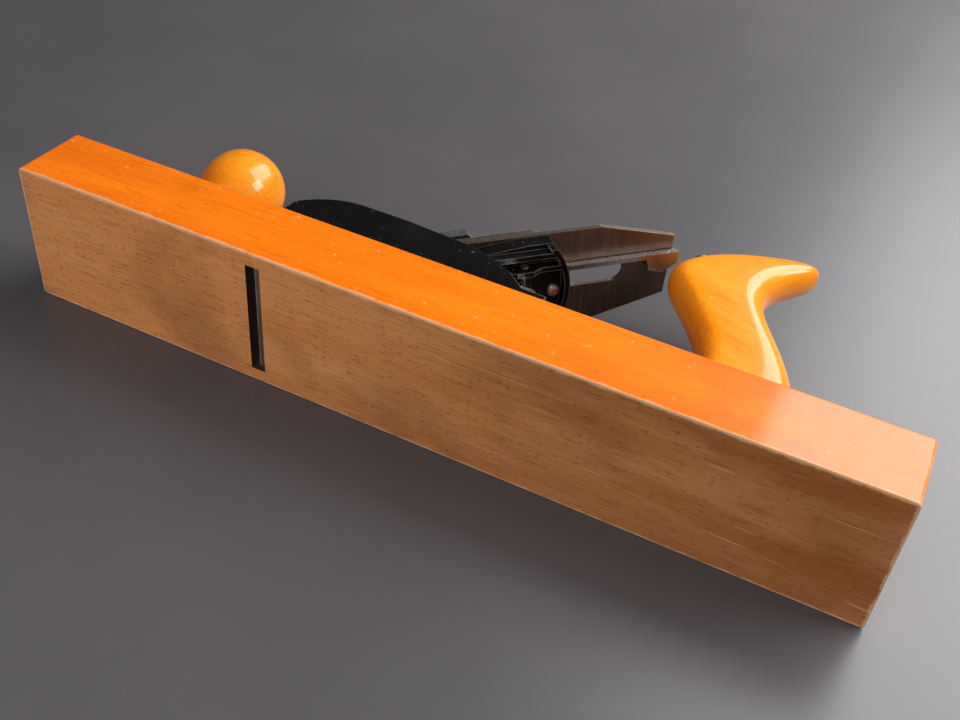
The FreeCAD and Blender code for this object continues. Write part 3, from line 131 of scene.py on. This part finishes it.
def new_group(name, inputs, outputs):
    """A shader node group with named number, colour or vector sockets."""
    tree = bpy.data.node_groups.new(name, "ShaderNodeTree")
    for label, kind, default in inputs:
        socket = tree.interface.new_socket(label, in_out="INPUT", socket_type="NodeSocket" + kind)
        if default is not None:
            socket.default_value = default
    for label, kind in outputs:
        tree.interface.new_socket(label, in_out="OUTPUT", socket_type="NodeSocket" + kind)
    return tree, tree.nodes.new("NodeGroupInput").outputs, tree.nodes.new("NodeGroupOutput").inputs


def place_group(tree, name, **values):
    node = tree.nodes.new("ShaderNodeGroup")
    node.node_tree = bpy.data.node_groups[name]
    for label, value in values.items():
        socket = node.inputs[label.replace("_", " ")]
        if isinstance(value, bpy.types.NodeSocket):
            tree.links.new(value, socket)
        else:
            socket.default_value = value
    return node


# Shared effects -------------------------------------------------------------------------------------

def build_edge_wear():
    """Mask of worn arrises: where the rounded normal leaves the real one, broken up by noise."""
    tree, source, result = new_group(
        "Edge Wear",
        [("Width", "Float", 0.0008), ("Amount", "Float", 0.5), ("Patch Scale", "Float", 90.0)],
        [("Mask", "Float")])
    soft = add(tree, "Bevel", samples=4)
    flat = add(tree, "NewGeometry")
    dot = add(tree, "VectorMath", operation="DOT_PRODUCT")
    place = add(tree, "TexCoord")
    patches = add(tree, "TexNoise", Detail=4.0, Roughness=0.65)
    wire(tree, (source["Width"], soft.inputs["Radius"]), (soft.outputs[0], dot.inputs[0]),
         (flat.outputs["Normal"], dot.inputs[1]), (place.outputs["Object"], patches.inputs["Vector"]),
         (source["Patch Scale"], patches.inputs["Scale"]))
    edge = band(tree, dot.outputs["Value"], 0.995, 0.90)
    rough = band(tree, patches.outputs["Fac"], 0.36, 0.62)
    worn = compute(tree, "MULTIPLY", edge, compute(tree, "MULTIPLY_ADD", rough, 0.7, 0.3))
    wire(tree, (compute(tree, "MULTIPLY", worn, source["Amount"], clamp=True), result["Mask"]))


def build_beech_grain():
    """Beech: soft bands, fine pores and the short dark ray flecks that lie along the grain."""
    tree, source, result = new_group(
        "Beech Grain",
        [("Vector", "Vector", None)],
        [("Bands", "Float"), ("Pores", "Float"), ("Flecks", "Float"), ("Height", "Float")])
    stretched = []
    for scale in ((7, 55, 55), (60, 1500, 1500), (260, 1300, 1300)):
        node = add(tree, "Mapping")
        node.inputs["Scale"].default_value = scale
        wire(tree, (source["Vector"], node.inputs["Vector"]))
        stretched.append(node.outputs[0])
    wide = add(tree, "TexNoise", Scale=1.0, Detail=3.0, Distortion=0.6)
    pores = add(tree, "TexNoise", Scale=1.0, Detail=2.0)
    flecks = add(tree, "TexVoronoi", Scale=1.0, feature="F1")
    wire(tree, (stretched[0], wide.inputs["Vector"]), (stretched[1], pores.inputs["Vector"]),
         (stretched[2], flecks.inputs["Vector"]))
    fleck = band(tree, flecks.outputs["Distance"], 0.34, 0.16)
    chosen = add(tree, "SeparateColor")
    wire(tree, (flecks.outputs["Color"], chosen.inputs[0]))
    fleck = compute(tree, "MULTIPLY", fleck, band(tree, chosen.outputs[0], 0.35, 0.9))
    pore = band(tree, pores.outputs["Fac"], 0.5, 0.72)
    height = compute(tree, "MULTIPLY_ADD", fleck, -0.7, compute(tree, "MULTIPLY", pore, -0.5))
    wire(tree, (band(tree, wide.outputs["Fac"], 0.3, 0.7), result["Bands"]), (pore, result["Pores"]),
         (fleck, result["Flecks"]), (height, result["Height"]))


def build_marks():
    """Dings, scuffs and stains left by use: small pale specks, and broad patches that are darker."""
    tree, source, result = new_group(
        "Marks of Use", [("Speck Scale", "Float", 220.0), ("Amount", "Float", 0.5)],
        [("Specks", "Float"), ("Stains", "Float"), ("Scratches", "Float")])
    place = add(tree, "TexCoord")
    specks = add(tree, "TexNoise", Detail=5.0, Roughness=0.75)
    stains = add(tree, "TexNoise", Scale=14.0, Detail=4.0, Roughness=0.55)
    lines = add(tree, "Mapping")
    lines.inputs["Rotation"].default_value = (0.3, 0.2, 0.5)
    lines.inputs["Scale"].default_value = (25, 700, 400)
    scratches = add(tree, "TexNoise", Scale=1.0, Detail=1.0)
    wire(tree, (place.outputs["Object"], specks.inputs["Vector"]), (source["Speck Scale"], specks.inputs["Scale"]),
         (place.outputs["Object"], stains.inputs["Vector"]), (place.outputs["Object"], lines.inputs["Vector"]),
         (lines.outputs[0], scratches.inputs["Vector"]))
    speck = band(tree, specks.outputs["Fac"], 0.64, 0.71)
    scratch = band(tree, scratches.outputs["Fac"], 0.68, 0.76)
    wire(tree, (compute(tree, "MULTIPLY", speck, source["Amount"]), result["Specks"]),
         (band(tree, stains.outputs["Fac"], 0.45, 0.7), result["Stains"]),
         (compute(tree, "MULTIPLY", scratch, source["Amount"]), result["Scratches"]))


# Finishes -------------------------------------------------------------------------------------------

def new_finish(name, **shader_values):
    """A material with its Principled shader and an empty colour, ready for its own nodes."""
    material = bpy.data.materials.new(name)
    material.use_nodes = True
    tree = material.node_tree
    shader = next(node for node in tree.nodes if node.type == "BSDF_PRINCIPLED")
    for label, value in shader_values.items():
        shader.inputs[label.replace("_", " ")].default_value = value
    return material, tree, shader


def grain_space(tree, lean=0.0, along="X"):
    """Object coordinates turned so that their X runs along the grain."""
    place = add(tree, "TexCoord")
    turn = add(tree, "Mapping")
    turn.inputs["Rotation"].default_value = {"X": (0, 0, 0), "Z": (0, math.radians(90), 0),
                                             "lean": (0, lean, 0)}[along]
    wire(tree, (place.outputs["Object"], turn.inputs["Vector"]))
    return turn.outputs[0]


def raise_bump(tree, shader, height, strength, distance):
    bump = add(tree, "Bump", Strength=strength, Distance=distance)
    wire(tree, (height, bump.inputs["Height"]), (bump.outputs[0], shader.inputs["Normal"]))


def varnished_beech(name, colours, along="X", lean=0.0, wear=0.6):
    """Varnished beech: deep, base and light colours over the grain, pale where the varnish has gone."""
    material, tree, shader = new_finish(name, Coat_Weight=0.55, Coat_Roughness=0.09, Specular_IOR_Level=0.15)
    deep, base, light, bare = colours
    grain = place_group(tree, "Beech Grain", Vector=grain_space(tree, lean, along))
    marks = place_group(tree, "Marks of Use", Amount=0.8)
    edge = place_group(tree, "Edge Wear", Width=0.0012, Amount=wear)
    colour = blend_colours(tree, grain.outputs["Bands"], base, light)
    colour = blend_colours(tree, compute(tree, "MULTIPLY", grain.outputs["Flecks"], 0.55), colour, deep)
    colour = blend_colours(tree, compute(tree, "MULTIPLY", grain.outputs["Pores"], 0.35), colour, deep)
    colour = blend_colours(tree, compute(tree, "MULTIPLY", marks.outputs["Stains"], 0.22), colour, deep)
    pale = compute(tree, "MAXIMUM", edge.outputs["Mask"], compute(tree, "MULTIPLY", marks.outputs["Specks"], 0.8))
    colour = blend_colours(tree, pale, colour, bare)
    rough = compute(tree, "MULTIPLY_ADD", grain.outputs["Bands"], 0.08, 0.34)
    rough = compute(tree, "MULTIPLY_ADD", pale, 0.25, rough)
    wire(tree, (colour, shader.inputs["Base Color"]), (rough, shader.inputs["Roughness"]))
    raise_bump(tree, shader, grain.outputs["Height"], 0.25, 0.0002)
    return material


def stock_beech(settings):
    """The stock: varnished on its top and sides, bare and handled on its sole, with painted shade in the throat."""
    material = varnished_beech("StockBeech", settings.varnish_colours(), wear=0.0)
    tree = material.node_tree
    shader = next(node for node in tree.nodes if node.type == "BSDF_PRINCIPLED")
    varnished = shader.inputs["Base Color"].links[0].from_socket
    varnish_rough = shader.inputs["Roughness"].links[0].from_socket
    grain = next(node for node in tree.nodes if node.type == "GROUP" and node.node_tree.name == "Beech Grain")
    marks = next(node for node in tree.nodes if node.type == "GROUP" and node.node_tree.name == "Marks of Use")
    place = add(tree, "TexCoord")
    xyz = add(tree, "SeparateXYZ")
    facing = add(tree, "NewGeometry")
    way = add(tree, "SeparateXYZ")
    wire(tree, (place.outputs["Object"], xyz.inputs[0]), (facing.outputs["Normal"], way.inputs[0]))
    ragged = add(tree, "TexNoise", Scale=120.0, Detail=5.0, Roughness=0.7)
    wire(tree, (place.outputs["Object"], ragged.inputs["Vector"]))
    ragged = compute(tree, "MULTIPLY_ADD", ragged.outputs["Fac"], 0.0034, -0.0017)

    # Bare sole, darker towards the heel, with soot-brown flecks.
    toe_ward = band(tree, xyz.outputs["X"], -0.15, 0.12)
    bare = blend_colours(tree, toe_ward, settings.sole_heel, settings.sole_toe)
    bare = blend_colours(tree, compute(tree, "MULTIPLY", grain.outputs["Bands"], 0.35), bare, settings.sole_pale)
    bare = blend_colours(tree, compute(tree, "MULTIPLY", grain.outputs["Flecks"], 0.75), bare, settings.sole_fleck)
    bare = blend_colours(tree, compute(tree, "MULTIPLY", grain.outputs["Pores"], 0.45), bare, settings.sole_fleck)
    bare = blend_colours(tree, compute(tree, "MULTIPLY", marks.outputs["Stains"], 0.4), bare, settings.sole_fleck)
    scratched = compute(tree, "MULTIPLY", marks.outputs["Scratches"], 0.7)
    bare = blend_colours(tree, scratched, bare, settings.sole_pale)
    low = compute(tree, "ADD", xyz.outputs["Z"], ragged)
    sole = compute(tree, "MULTIPLY", band(tree, low, 0.0014, 0.0004), band(tree, way.outputs["Z"], -0.1, -0.6))
    colour = blend_colours(tree, sole, varnished, bare)

    # The arrises are rubbed down to pale wood, most of all the one between the sole and the side.
    side_gap = compute(tree, "SUBTRACT", HALF_WIDTH, compute(tree, "ABSOLUTE", xyz.outputs["Y"]))
    end_gap = compute(tree, "SUBTRACT", HALF_LENGTH, compute(tree, "ABSOLUTE", xyz.outputs["X"]))
    top_gap = compute(tree, "SUBTRACT", STOCK_TOP, xyz.outputs["Z"])
    wall_gap = compute(tree, "MINIMUM", side_gap, end_gap)
    low_edge = band(tree, compute(tree, "ADD", compute(tree, "MAXIMUM", wall_gap, xyz.outputs["Z"]), ragged),
                    0.0016, 0.0006)
    high_edge = band(tree, compute(tree, "ADD", compute(tree, "MAXIMUM", wall_gap, top_gap), ragged),
                     0.0012, 0.0002)
    corner = band(tree, compute(tree, "ADD", compute(tree, "MAXIMUM", side_gap, end_gap), ragged), 0.0016, 0.0004)
    worn = compute(tree, "MAXIMUM", compute(tree, "MULTIPLY", high_edge, 0.6), corner)
    worn = compute(tree, "MAXIMUM", low_edge, worn)
    colour = blend_colours(tree, compute(tree, "MULTIPLY", worn, 0.42), colour, settings.arris)

    # Painted shade inside the throat and mouth: the walls there are coloured near black to stand in for shade.
    above_sole = band(tree, xyz.outputs["Z"], 0.00004, 0.0002)
    painted_throat_shade = compute(tree, "MULTIPLY", band(tree, side_gap, 0.0045, 0.0055), above_sole)
    painted_throat_shade = compute(tree, "MULTIPLY", painted_throat_shade, band(tree, top_gap, 0.0001, 0.0006))
    painted_throat_shade = compute(tree, "MULTIPLY", painted_throat_shade, band(tree, end_gap, 0.05, 0.06))
    # The near-black colour here is painted shade, not a finish of the wood.
    colour = blend_colours(tree, painted_throat_shade, colour, (0.035, 0.016, 0.008))
    rough = compute(tree, "MULTIPLY_ADD", sole, 0.22, varnish_rough)
    wire(tree, (colour, shader.inputs["Base Color"]), (rough, shader.inputs["Roughness"]),
         (compute(tree, "MULTIPLY_ADD", sole, -0.5, 0.5), shader.inputs["Coat Weight"]))
    return material


def black_japanning():
    """Glossy black baked varnish on iron, with dust in it and bright metal on its rims."""
    material, tree, shader = new_finish("BlackJapanning", Specular_IOR_Level=0.35)
    edge = place_group(tree, "Edge Wear", Width=0.0007, Amount=0.85, Patch_Scale=160.0)
    marks = place_group(tree, "Marks of Use", Speck_Scale=420.0, Amount=1.0)
    colour = blend_colours(tree, compute(tree, "MULTIPLY", marks.outputs["Stains"], 0.5), (0.0025, 0.0022, 0.0024),
                           (0.008, 0.006, 0.006))
    dust = compute(tree, "MULTIPLY", marks.outputs["Specks"], 0.6)
    colour = blend_colours(tree, dust, colour, (0.28, 0.25, 0.22))
    colour = blend_colours(tree, edge.outputs["Mask"], colour, (0.36, 0.33, 0.3))
    rough = compute(tree, "MULTIPLY_ADD", marks.outputs["Stains"], 0.14, 0.2)
    rough = compute(tree, "MULTIPLY_ADD", edge.outputs["Mask"], 0.12, rough)
    wire(tree, (colour, shader.inputs["Base Color"]), (rough, shader.inputs["Roughness"]),
         (compute(tree, "MULTIPLY", edge.outputs["Mask"], 0.9), shader.inputs["Metallic"]))
    ripple = add(tree, "TexNoise", Scale=190.0, Detail=3.0)
    place = add(tree, "TexCoord")
    wire(tree, (place.outputs["Object"], ripple.inputs["Vector"]))
    raise_bump(tree, shader, ripple.outputs["Fac"], 0.35, 0.0004)
    return material


def worked_metal(name, colours, rough, brushed, edge_amount=0.7):
    """Ground or plated metal: brushed along the bed, darker patina in patches, bright on its edges."""
    material, tree, shader = new_finish(name, Metallic=1.0)
    base, patina, bright = colours
    marks = place_group(tree, "Marks of Use", Speck_Scale=300.0, Amount=1.0)
    edge = place_group(tree, "Edge Wear", Width=0.0005, Amount=edge_amount, Patch_Scale=130.0)
    place = add(tree, "TexCoord")
    turn = add(tree, "Mapping")
    turn.inputs["Rotation"].default_value = (0, math.radians(45), 0)
    turn.inputs["Scale"].default_value = (900, 35, 900)
    lines = add(tree, "TexNoise", Scale=1.0, Detail=2.0)
    wire(tree, (place.outputs["Object"], turn.inputs["Vector"]), (turn.outputs[0], lines.inputs["Vector"]))
    brush = band(tree, lines.outputs["Fac"], 0.3, 0.7)
    colour = blend_colours(tree, compute(tree, "MULTIPLY", marks.outputs["Stains"], 0.8), base, patina)
    colour = blend_colours(tree, compute(tree, "MULTIPLY", marks.outputs["Specks"], 0.5), colour, patina)
    colour = blend_colours(tree, edge.outputs["Mask"], colour, bright)
    roughness = compute(tree, "MULTIPLY_ADD", brush, brushed, rough)
    roughness = compute(tree, "MULTIPLY_ADD", marks.outputs["Stains"], 0.14, roughness)
    wire(tree, (colour, shader.inputs["Base Color"]), (roughness, shader.inputs["Roughness"]))
    raise_bump(tree, shader, brush, 0.12, 0.0001)
    return material


def finish(material, *names):
    """Gives a finish to CAD pieces."""
    for name in names:
        slots = NODES[name].material_slots
        for slot in slots:
            slot.link = "DATA"
            slot.material = material
        if not slots:
            NODES[name].data.materials.append(material)


def box_of(node):
    """Lowest and highest corner of a node, in the row frame."""
    corners = [node.matrix_world @ Vector(corner) for corner in node.bound_box]
    return (Vector([min(corner[axis] for corner in corners) for axis in range(3)]),
            Vector([max(corner[axis] for corner in corners) for axis in range(3)]))


# Settings -------------------------------------------------------------------------------------------

def colour_property(name, description, default):
    return bpy.props.FloatVectorProperty(name=name, description=description, default=default, size=3,
                                         min=0.0, max=1.0, subtype="COLOR")


class PlaneWoodSettings(bpy.types.PropertyGroup):
    varnish_deep: colour_property("Varnish Deep", "Varnished wood in its pores and flecks", (0.36, 0.075, 0.002))
    varnish_base: colour_property("Varnish", "Varnished wood", (0.78, 0.15, 0.0))
    varnish_light: colour_property("Varnish Light", "Varnished wood in its lighter bands", (0.92, 0.20, 0.001))
    arris: colour_property("Arris", "Rubbed edges of the stock", (0.78, 0.50, 0.30))
    sole_heel: colour_property("Sole, Heel", "Bare wood at the heel end", (0.27, 0.095, 0.022))
    sole_toe: colour_property("Sole, Toe", "Bare wood at the toe end", (0.56, 0.22, 0.07))
    sole_pale: colour_property("Sole, Pale", "Lighter bands and scratches", (0.60, 0.30, 0.13))
    sole_fleck: colour_property("Sole, Flecks", "Flecks and pores of bare wood", (0.13, 0.035, 0.008))
    grip_base: colour_property("Grips", "Varnish of the knob and the tote", (0.86, 0.245, 0.001))
    grip_light: colour_property("Grips, Light", "Lighter bands of the grips", (0.90, 0.31, 0.01))

    def varnish_colours(self):
        return self.varnish_deep, self.varnish_base, self.varnish_light, self.arris

    def grip_colours(self):
        return self.varnish_deep, self.grip_base, self.grip_light, self.arris


class PlaneStageSettings(bpy.types.PropertyGroup):
    bench: colour_property("Bench", "Colour of the bench top", (0.080, 0.074, 0.079))
    window_power: bpy.props.FloatProperty(name="Window", description="Power of the window", default=47.0,
                                          min=0.0, subtype="POWER")
    lamp_power: bpy.props.FloatProperty(name="Key", description="Power of the key lamp", default=9.0,
                                        min=0.0, subtype="POWER")
    fill_power: bpy.props.FloatProperty(name="Fill", description="Power of the fill lamp", default=14.5,
                                        min=0.0, subtype="POWER")
    lens: bpy.props.FloatProperty(name="Lens", description="Focal length of the camera in millimetres",
                                  default=42.13, min=1.0)
    eye: bpy.props.FloatVectorProperty(name="Eye", description="Place of the camera", size=3, unit="LENGTH",
                                       subtype="TRANSLATION", default=(-0.15510, 0.29176, -0.29450))
    target: bpy.props.FloatVectorProperty(name="Target", description="Point that the camera looks at", size=3,
                                          unit="LENGTH", subtype="TRANSLATION",
                                          default=(-0.00417, -0.03300, 0.06247))
    roll: bpy.props.FloatProperty(name="Roll", description="Turn of the camera about its view",
                                  default=math.radians(-5.580), unit="ROTATION", subtype="ANGLE")


# Pieces ---------------------------------------------------------------------------------------------

class PLANE_OT_stock(bpy.types.Operator):
    """Finish the beech stock: varnished sides, bare sole and painted shade in the throat"""
    bl_idname = "plane.stock"
    bl_label = "Stock"

    def execute(self, context):
        finish(stock_beech(context.scene.plane_wood), "wood_body")
        return {"FINISHED"}


class PLANE_OT_castings(bpy.types.Operator):
    """Japan the iron frame, the frog and the yoke"""
    bl_idname = "plane.castings"
    bl_label = "Castings"

    def execute(self, context):
        finish(black_japanning(), "top_frame", "frog", "adjusting_yoke")
        return {"FINISHED"}


class PLANE_OT_irons(bpy.types.Operator):
    """Give the cutter, the cap iron and the spring their brown-grey patina"""
    bl_idname = "plane.irons"
    bl_label = "Irons"

    def execute(self, context):
        colours = (0.20, 0.155, 0.125), (0.085, 0.05, 0.03), (0.66, 0.62, 0.56)
        steel = worked_metal("BladeSteel", colours, 0.32, 0.14)
        finish(steel, "cutter", "cap_iron", "lever_cap_spring")
        return {"FINISHED"}


class PLANE_OT_bright_parts(bpy.types.Operator):
    """Plate the lever cap, the cam, the depth wheel and the lateral lever"""
    bl_idname = "plane.bright_parts"
    bl_label = "Bright Parts"

    def execute(self, context):
        plate = worked_metal("BrightPlate", ((0.72, 0.72, 0.71), (0.42, 0.39, 0.35), (0.9, 0.9, 0.88)), 0.16, 0.10)
        finish(plate, "lever_cap", "cam_lever", "wheel_bush", "adjusting_wheel", "lateral_lever")
        return {"FINISHED"}


class PLANE_OT_hardware(bpy.types.Operator):
    """Finish screws, pins, studs and rods in dull steel, and nuts and inserts in brass"""
    bl_idname = "plane.hardware"
    bl_label = "Hardware"

    def execute(self, context):
        steel = worked_metal("WornSteel", ((0.42, 0.40, 0.37), (0.17, 0.13, 0.10), (0.72, 0.70, 0.66)), 0.34, 0.12)
        brass = worked_metal("DullBrass", ((0.66, 0.47, 0.21), (0.30, 0.19, 0.08), (0.86, 0.70, 0.40)), 0.28, 0.12)
        finish(steel, "frame_screws", "frog_screws", "frog_washers", "cap_iron_screw", "lever_cap_screw", "cam_pin",
               "spring_rivets", "yoke_pin", "adjusting_stud", "lateral_rivet", "lateral_roller", "roller_pin",
               "knob_rod", "tote_rod", "toe_screw")
        finish(brass, "knob_nut", "knob_insert", "tote_nut", "tote_insert")
        return {"FINISHED"}


class PLANE_OT_knob(bpy.types.Operator):
    """Varnish the turned front knob, its grain upright"""
    bl_idname = "plane.knob"
    bl_label = "Knob"

    def execute(self, context):
        finish(varnished_beech("KnobBeech", context.scene.plane_wood.grip_colours(), along="Z", wear=0.3),
               "front_knob")
        return {"FINISHED"}


class PLANE_OT_tote(bpy.types.Operator):
    """Shape the tote from rounded sections, foot to horn, and varnish it, its grain along the grip"""
    bl_idname = "plane.tote"
    bl_label = "Tote"

    def execute(self, context):
        beech = varnished_beech("ToteBeech", context.scene.plane_wood.grip_colours(), along="lean",
                                lean=math.radians(20), wear=0.3)
        finish(beech, "tote")
        heel, foot = TOTE_FOOT
        bpy.ops.object.select_all(action="DESELECT")
        bpy.ops.mesh.primitive_plane_add(size=0.0001, location=(heel, 0, foot))
        made = context.object
        made.name = "tote_shaped"
        bpy.ops.object.transform_apply(location=True)
        bpy.ops.object.mode_set(mode="EDIT")
        bpy.ops.mesh.delete(type="VERT")
        for front, back, half in TOTE_SECTIONS:
            self.add_section(heel, foot, front, back, half)
        bpy.ops.mesh.select_all(action="SELECT")
        bpy.ops.mesh.bridge_edge_loops(type="SINGLE")
        bpy.ops.mesh.select_all(action="DESELECT")
        bpy.ops.mesh.select_non_manifold()
        bpy.ops.mesh.edge_face_add()
        bpy.ops.mesh.select_all(action="SELECT")
        bpy.ops.mesh.normals_make_consistent(inside=False)
        bpy.ops.object.mode_set(mode="OBJECT")
        if len(made.data.polygons) < len(TOTE_SECTIONS) * 12:
            self.report({"ERROR"}, "The tote's sections did not join")
            return {"CANCELLED"}
        rounded = made.modifiers.new("Rounded", "SUBSURF")
        rounded.levels = 2
        bpy.ops.object.modifier_apply(modifier=rounded.name)
        nut, screw = (box_of(NODES[name]) for name in ("tote_nut", "toe_screw"))
        self.drill(context, made, (nut[0] + nut[1]) / 2, 0.0059, tilt=math.radians(24))
        screw_middle = (screw[0] + screw[1]) / 2
        self.drill(context, made, (screw_middle.x, 0, foot + 0.026), (screw[1].x - screw[0].x) / 2 + 0.0002)
        bpy.ops.object.shade_smooth_by_angle(angle=math.radians(40))
        made.data.materials.clear()
        made.data.materials.append(beech)
        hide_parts("tote")
        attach(made, "stock")
        return {"FINISHED"}

    def add_section(self, heel, foot, front, back, half):
        """A closed ring of rounded corners between a point of the tote's front and one of its back."""
        ends = [Vector((heel + 0.001 * x, 0, foot + 0.001 * z)) for x, z in (front, back)]
        middle = (ends[0] + ends[1]) / 2
        reach = (ends[0] - ends[1]).length / 2
        tilt = math.atan2(ends[0].z - ends[1].z, ends[0].x - ends[1].x)
        bpy.ops.mesh.select_all(action="DESELECT")
        bpy.ops.mesh.primitive_plane_add(size=2.0, location=middle)
        bpy.ops.transform.resize(value=(reach, 0.001 * half, 1), center_override=middle)
        bpy.ops.mesh.bevel(offset=0.00085 * min(half, 1000 * reach), segments=4, affect="VERTICES")
        bpy.ops.mesh.delete(type="ONLY_FACE")
        bpy.ops.transform.rotate(value=tilt, orient_axis="Y", center_override=middle)

    def drill(self, context, made, place, radius, tilt=0.0):
        """Opens a round hole, 4 cm deep about a place."""
        bpy.ops.object.select_all(action="DESELECT")
        bpy.ops.mesh.primitive_cylinder_add(radius=radius, depth=0.04, vertices=48, location=place,
                                            rotation=(0, tilt, 0))
        tool = context.object
        bpy.ops.object.select_all(action="DESELECT")
        made.select_set(True)
        context.view_layer.objects.active = made
        hole = made.modifiers.new("Hole", "BOOLEAN")
        hole.operation = "DIFFERENCE"
        hole.object = tool
        bpy.ops.object.modifier_apply(modifier=hole.name)
        bpy.data.objects.remove(tool)


# Bench, lamps and camera ----------------------------------------------------------------------------

def one_sided(name, colour, rough):
    """Matt grey surface that shows from its front only, and lets light through from behind."""
    material, tree, shader = new_finish(name, Specular_IOR_Level=0.5)
    place = add(tree, "TexCoord")
    cloud = add(tree, "TexNoise", Scale=6.0, Detail=4.0, Roughness=0.6)
    fine = add(tree, "TexNoise", Scale=900.0, Detail=2.0)
    wire(tree, (place.outputs["Object"], cloud.inputs["Vector"]), (place.outputs["Object"], fine.inputs["Vector"]))
    cloudy = band(tree, cloud.outputs["Fac"], 0.35, 0.7)
    tint = blend_colours(tree, cloudy, colour, tuple(1.12 * c for c in colour))
    wire(tree, (tint, shader.inputs["Base Color"]),
         (compute(tree, "MULTIPLY_ADD", cloud.outputs["Fac"], 0.08, rough), shader.inputs["Roughness"]))
    raise_bump(tree, shader, fine.outputs["Fac"], 0.15, 0.0002)
    output = next(node for node in tree.nodes if node.type == "OUTPUT_MATERIAL")
    clear = add(tree, "BsdfTransparent")
    side = add(tree, "NewGeometry")
    mix = add(tree, "MixShader")
    wire(tree, (side.outputs["Backfacing"], mix.inputs[0]), (shader.outputs[0], mix.inputs[1]),
         (clear.outputs[0], mix.inputs[2]), (mix.outputs[0], output.inputs["Surface"]))
    return material


def add_lamp(name, place, target, size, power, colour=(1, 1, 1)):
    bpy.ops.object.light_add(type="AREA", location=place)
    lamp = bpy.context.object
    lamp.name = name
    lamp.data.shape = "RECTANGLE"
    lamp.data.size, lamp.data.size_y = size
    lamp.data.energy = power
    lamp.data.color = colour
    lamp.rotation_euler = (Vector(target) - Vector(place)).to_track_quat("-Z", "Y").to_euler()
    return lamp


class PLANE_OT_stage(bpy.types.Operator):
    """Add the bench top, the lamps and the camera"""
    bl_idname = "plane.stage"
    bl_label = "Stage"

    def execute(self, context):
        stage = context.scene.plane_stage
        bpy.ops.object.select_all(action="DESELECT")
        bench_y = CAD_BOX[0][1] - 0.0002
        bpy.ops.mesh.primitive_plane_add(size=8.0, location=(0, bench_y, 0), rotation=(math.radians(-90), 0, 0))
        bench = context.object
        bench.name = "bench_top"
        bench.data.materials.append(one_sided("BenchTop", tuple(stage.bench), 0.30))
        self.add_light(context, stage)
        self.add_camera(context, stage)
        return {"FINISHED"}

    def add_light(self, context, stage):
        add_lamp("window", (-0.62, 0.9, 1.35), (-0.62, 0, 1.35), (1.1, 1.9), stage.window_power)
        add_lamp("key", (-0.95, 0.75, 0.35), (0, 0, 0.03), (0.5, 0.5), stage.lamp_power)
        add_lamp("fill", (0.1, 0.7, -1.1), (0, 0, 0.03), (1.2, 1.2), stage.fill_power)
        world = bpy.data.worlds.new("Room")
        context.scene.world = world
        world.use_nodes = True
        background = next(node for node in world.node_tree.nodes if node.type == "BACKGROUND")
        background.inputs["Color"].default_value = (0.86, 0.87, 0.9, 1)
        background.inputs["Strength"].default_value = 0.09
        context.scene.view_settings.view_transform = "Standard"

    def add_camera(self, context, stage):
        bpy.ops.object.camera_add(location=stage.eye)
        camera = context.object
        camera.data.lens = stage.lens
        camera.data.sensor_width = 36.0
        forward = (Vector(stage.target) - Vector(stage.eye)).normalized()
        right = forward.cross(Vector((0, 1, 0))).normalized()
        up = right.cross(forward)
        level = Matrix((right, up, -forward)).transposed()
        camera.rotation_euler = (Matrix.Rotation(stage.roll, 3, forward) @ level).to_euler()
        context.scene.camera = camera


class PLANE_PT_panel(bpy.types.Panel):
    """Pieces of the bench plane, in the order they are made"""
    bl_idname = "PLANE_PT_panel"
    bl_label = "Bench Plane"
    bl_space_type = "VIEW_3D"
    bl_region_type = "UI"
    bl_category = "Plane"

    def draw(self, context):
        column = self.layout.column()
        for step in STEPS:
            column.operator(step.bl_idname)
        for settings in (context.scene.plane_wood, context.scene.plane_stage):
            for name in settings.bl_rna.properties.keys():
                if name not in {"rna_type", "name"}:
                    column.prop(settings, name)


STEPS = (PLANE_OT_stock, PLANE_OT_castings, PLANE_OT_irons, PLANE_OT_bright_parts, PLANE_OT_hardware,
         PLANE_OT_knob, PLANE_OT_tote, PLANE_OT_stage)
CLASSES = (PlaneWoodSettings, PlaneStageSettings, *STEPS, PLANE_PT_panel)


def register():
    for cls in CLASSES:
        bpy.utils.register_class(cls)
    bpy.types.Scene.plane_wood = bpy.props.PointerProperty(type=PlaneWoodSettings)
    bpy.types.Scene.plane_stage = bpy.props.PointerProperty(type=PlaneStageSettings)


def unregister():
    del bpy.types.Scene.plane_stage
    del bpy.types.Scene.plane_wood
    for cls in reversed(CLASSES):
        bpy.utils.unregister_class(cls)


def main():
    register()
    build_edge_wear()
    build_beech_grain()
    build_marks()
    bpy.ops.plane.stock()
    bpy.ops.plane.castings()
    bpy.ops.plane.irons()
    bpy.ops.plane.bright_parts()
    bpy.ops.plane.hardware()
    bpy.ops.plane.knob()
    bpy.ops.plane.tote()
    bpy.ops.plane.stage()


if __name__ == "__main__":
    main()
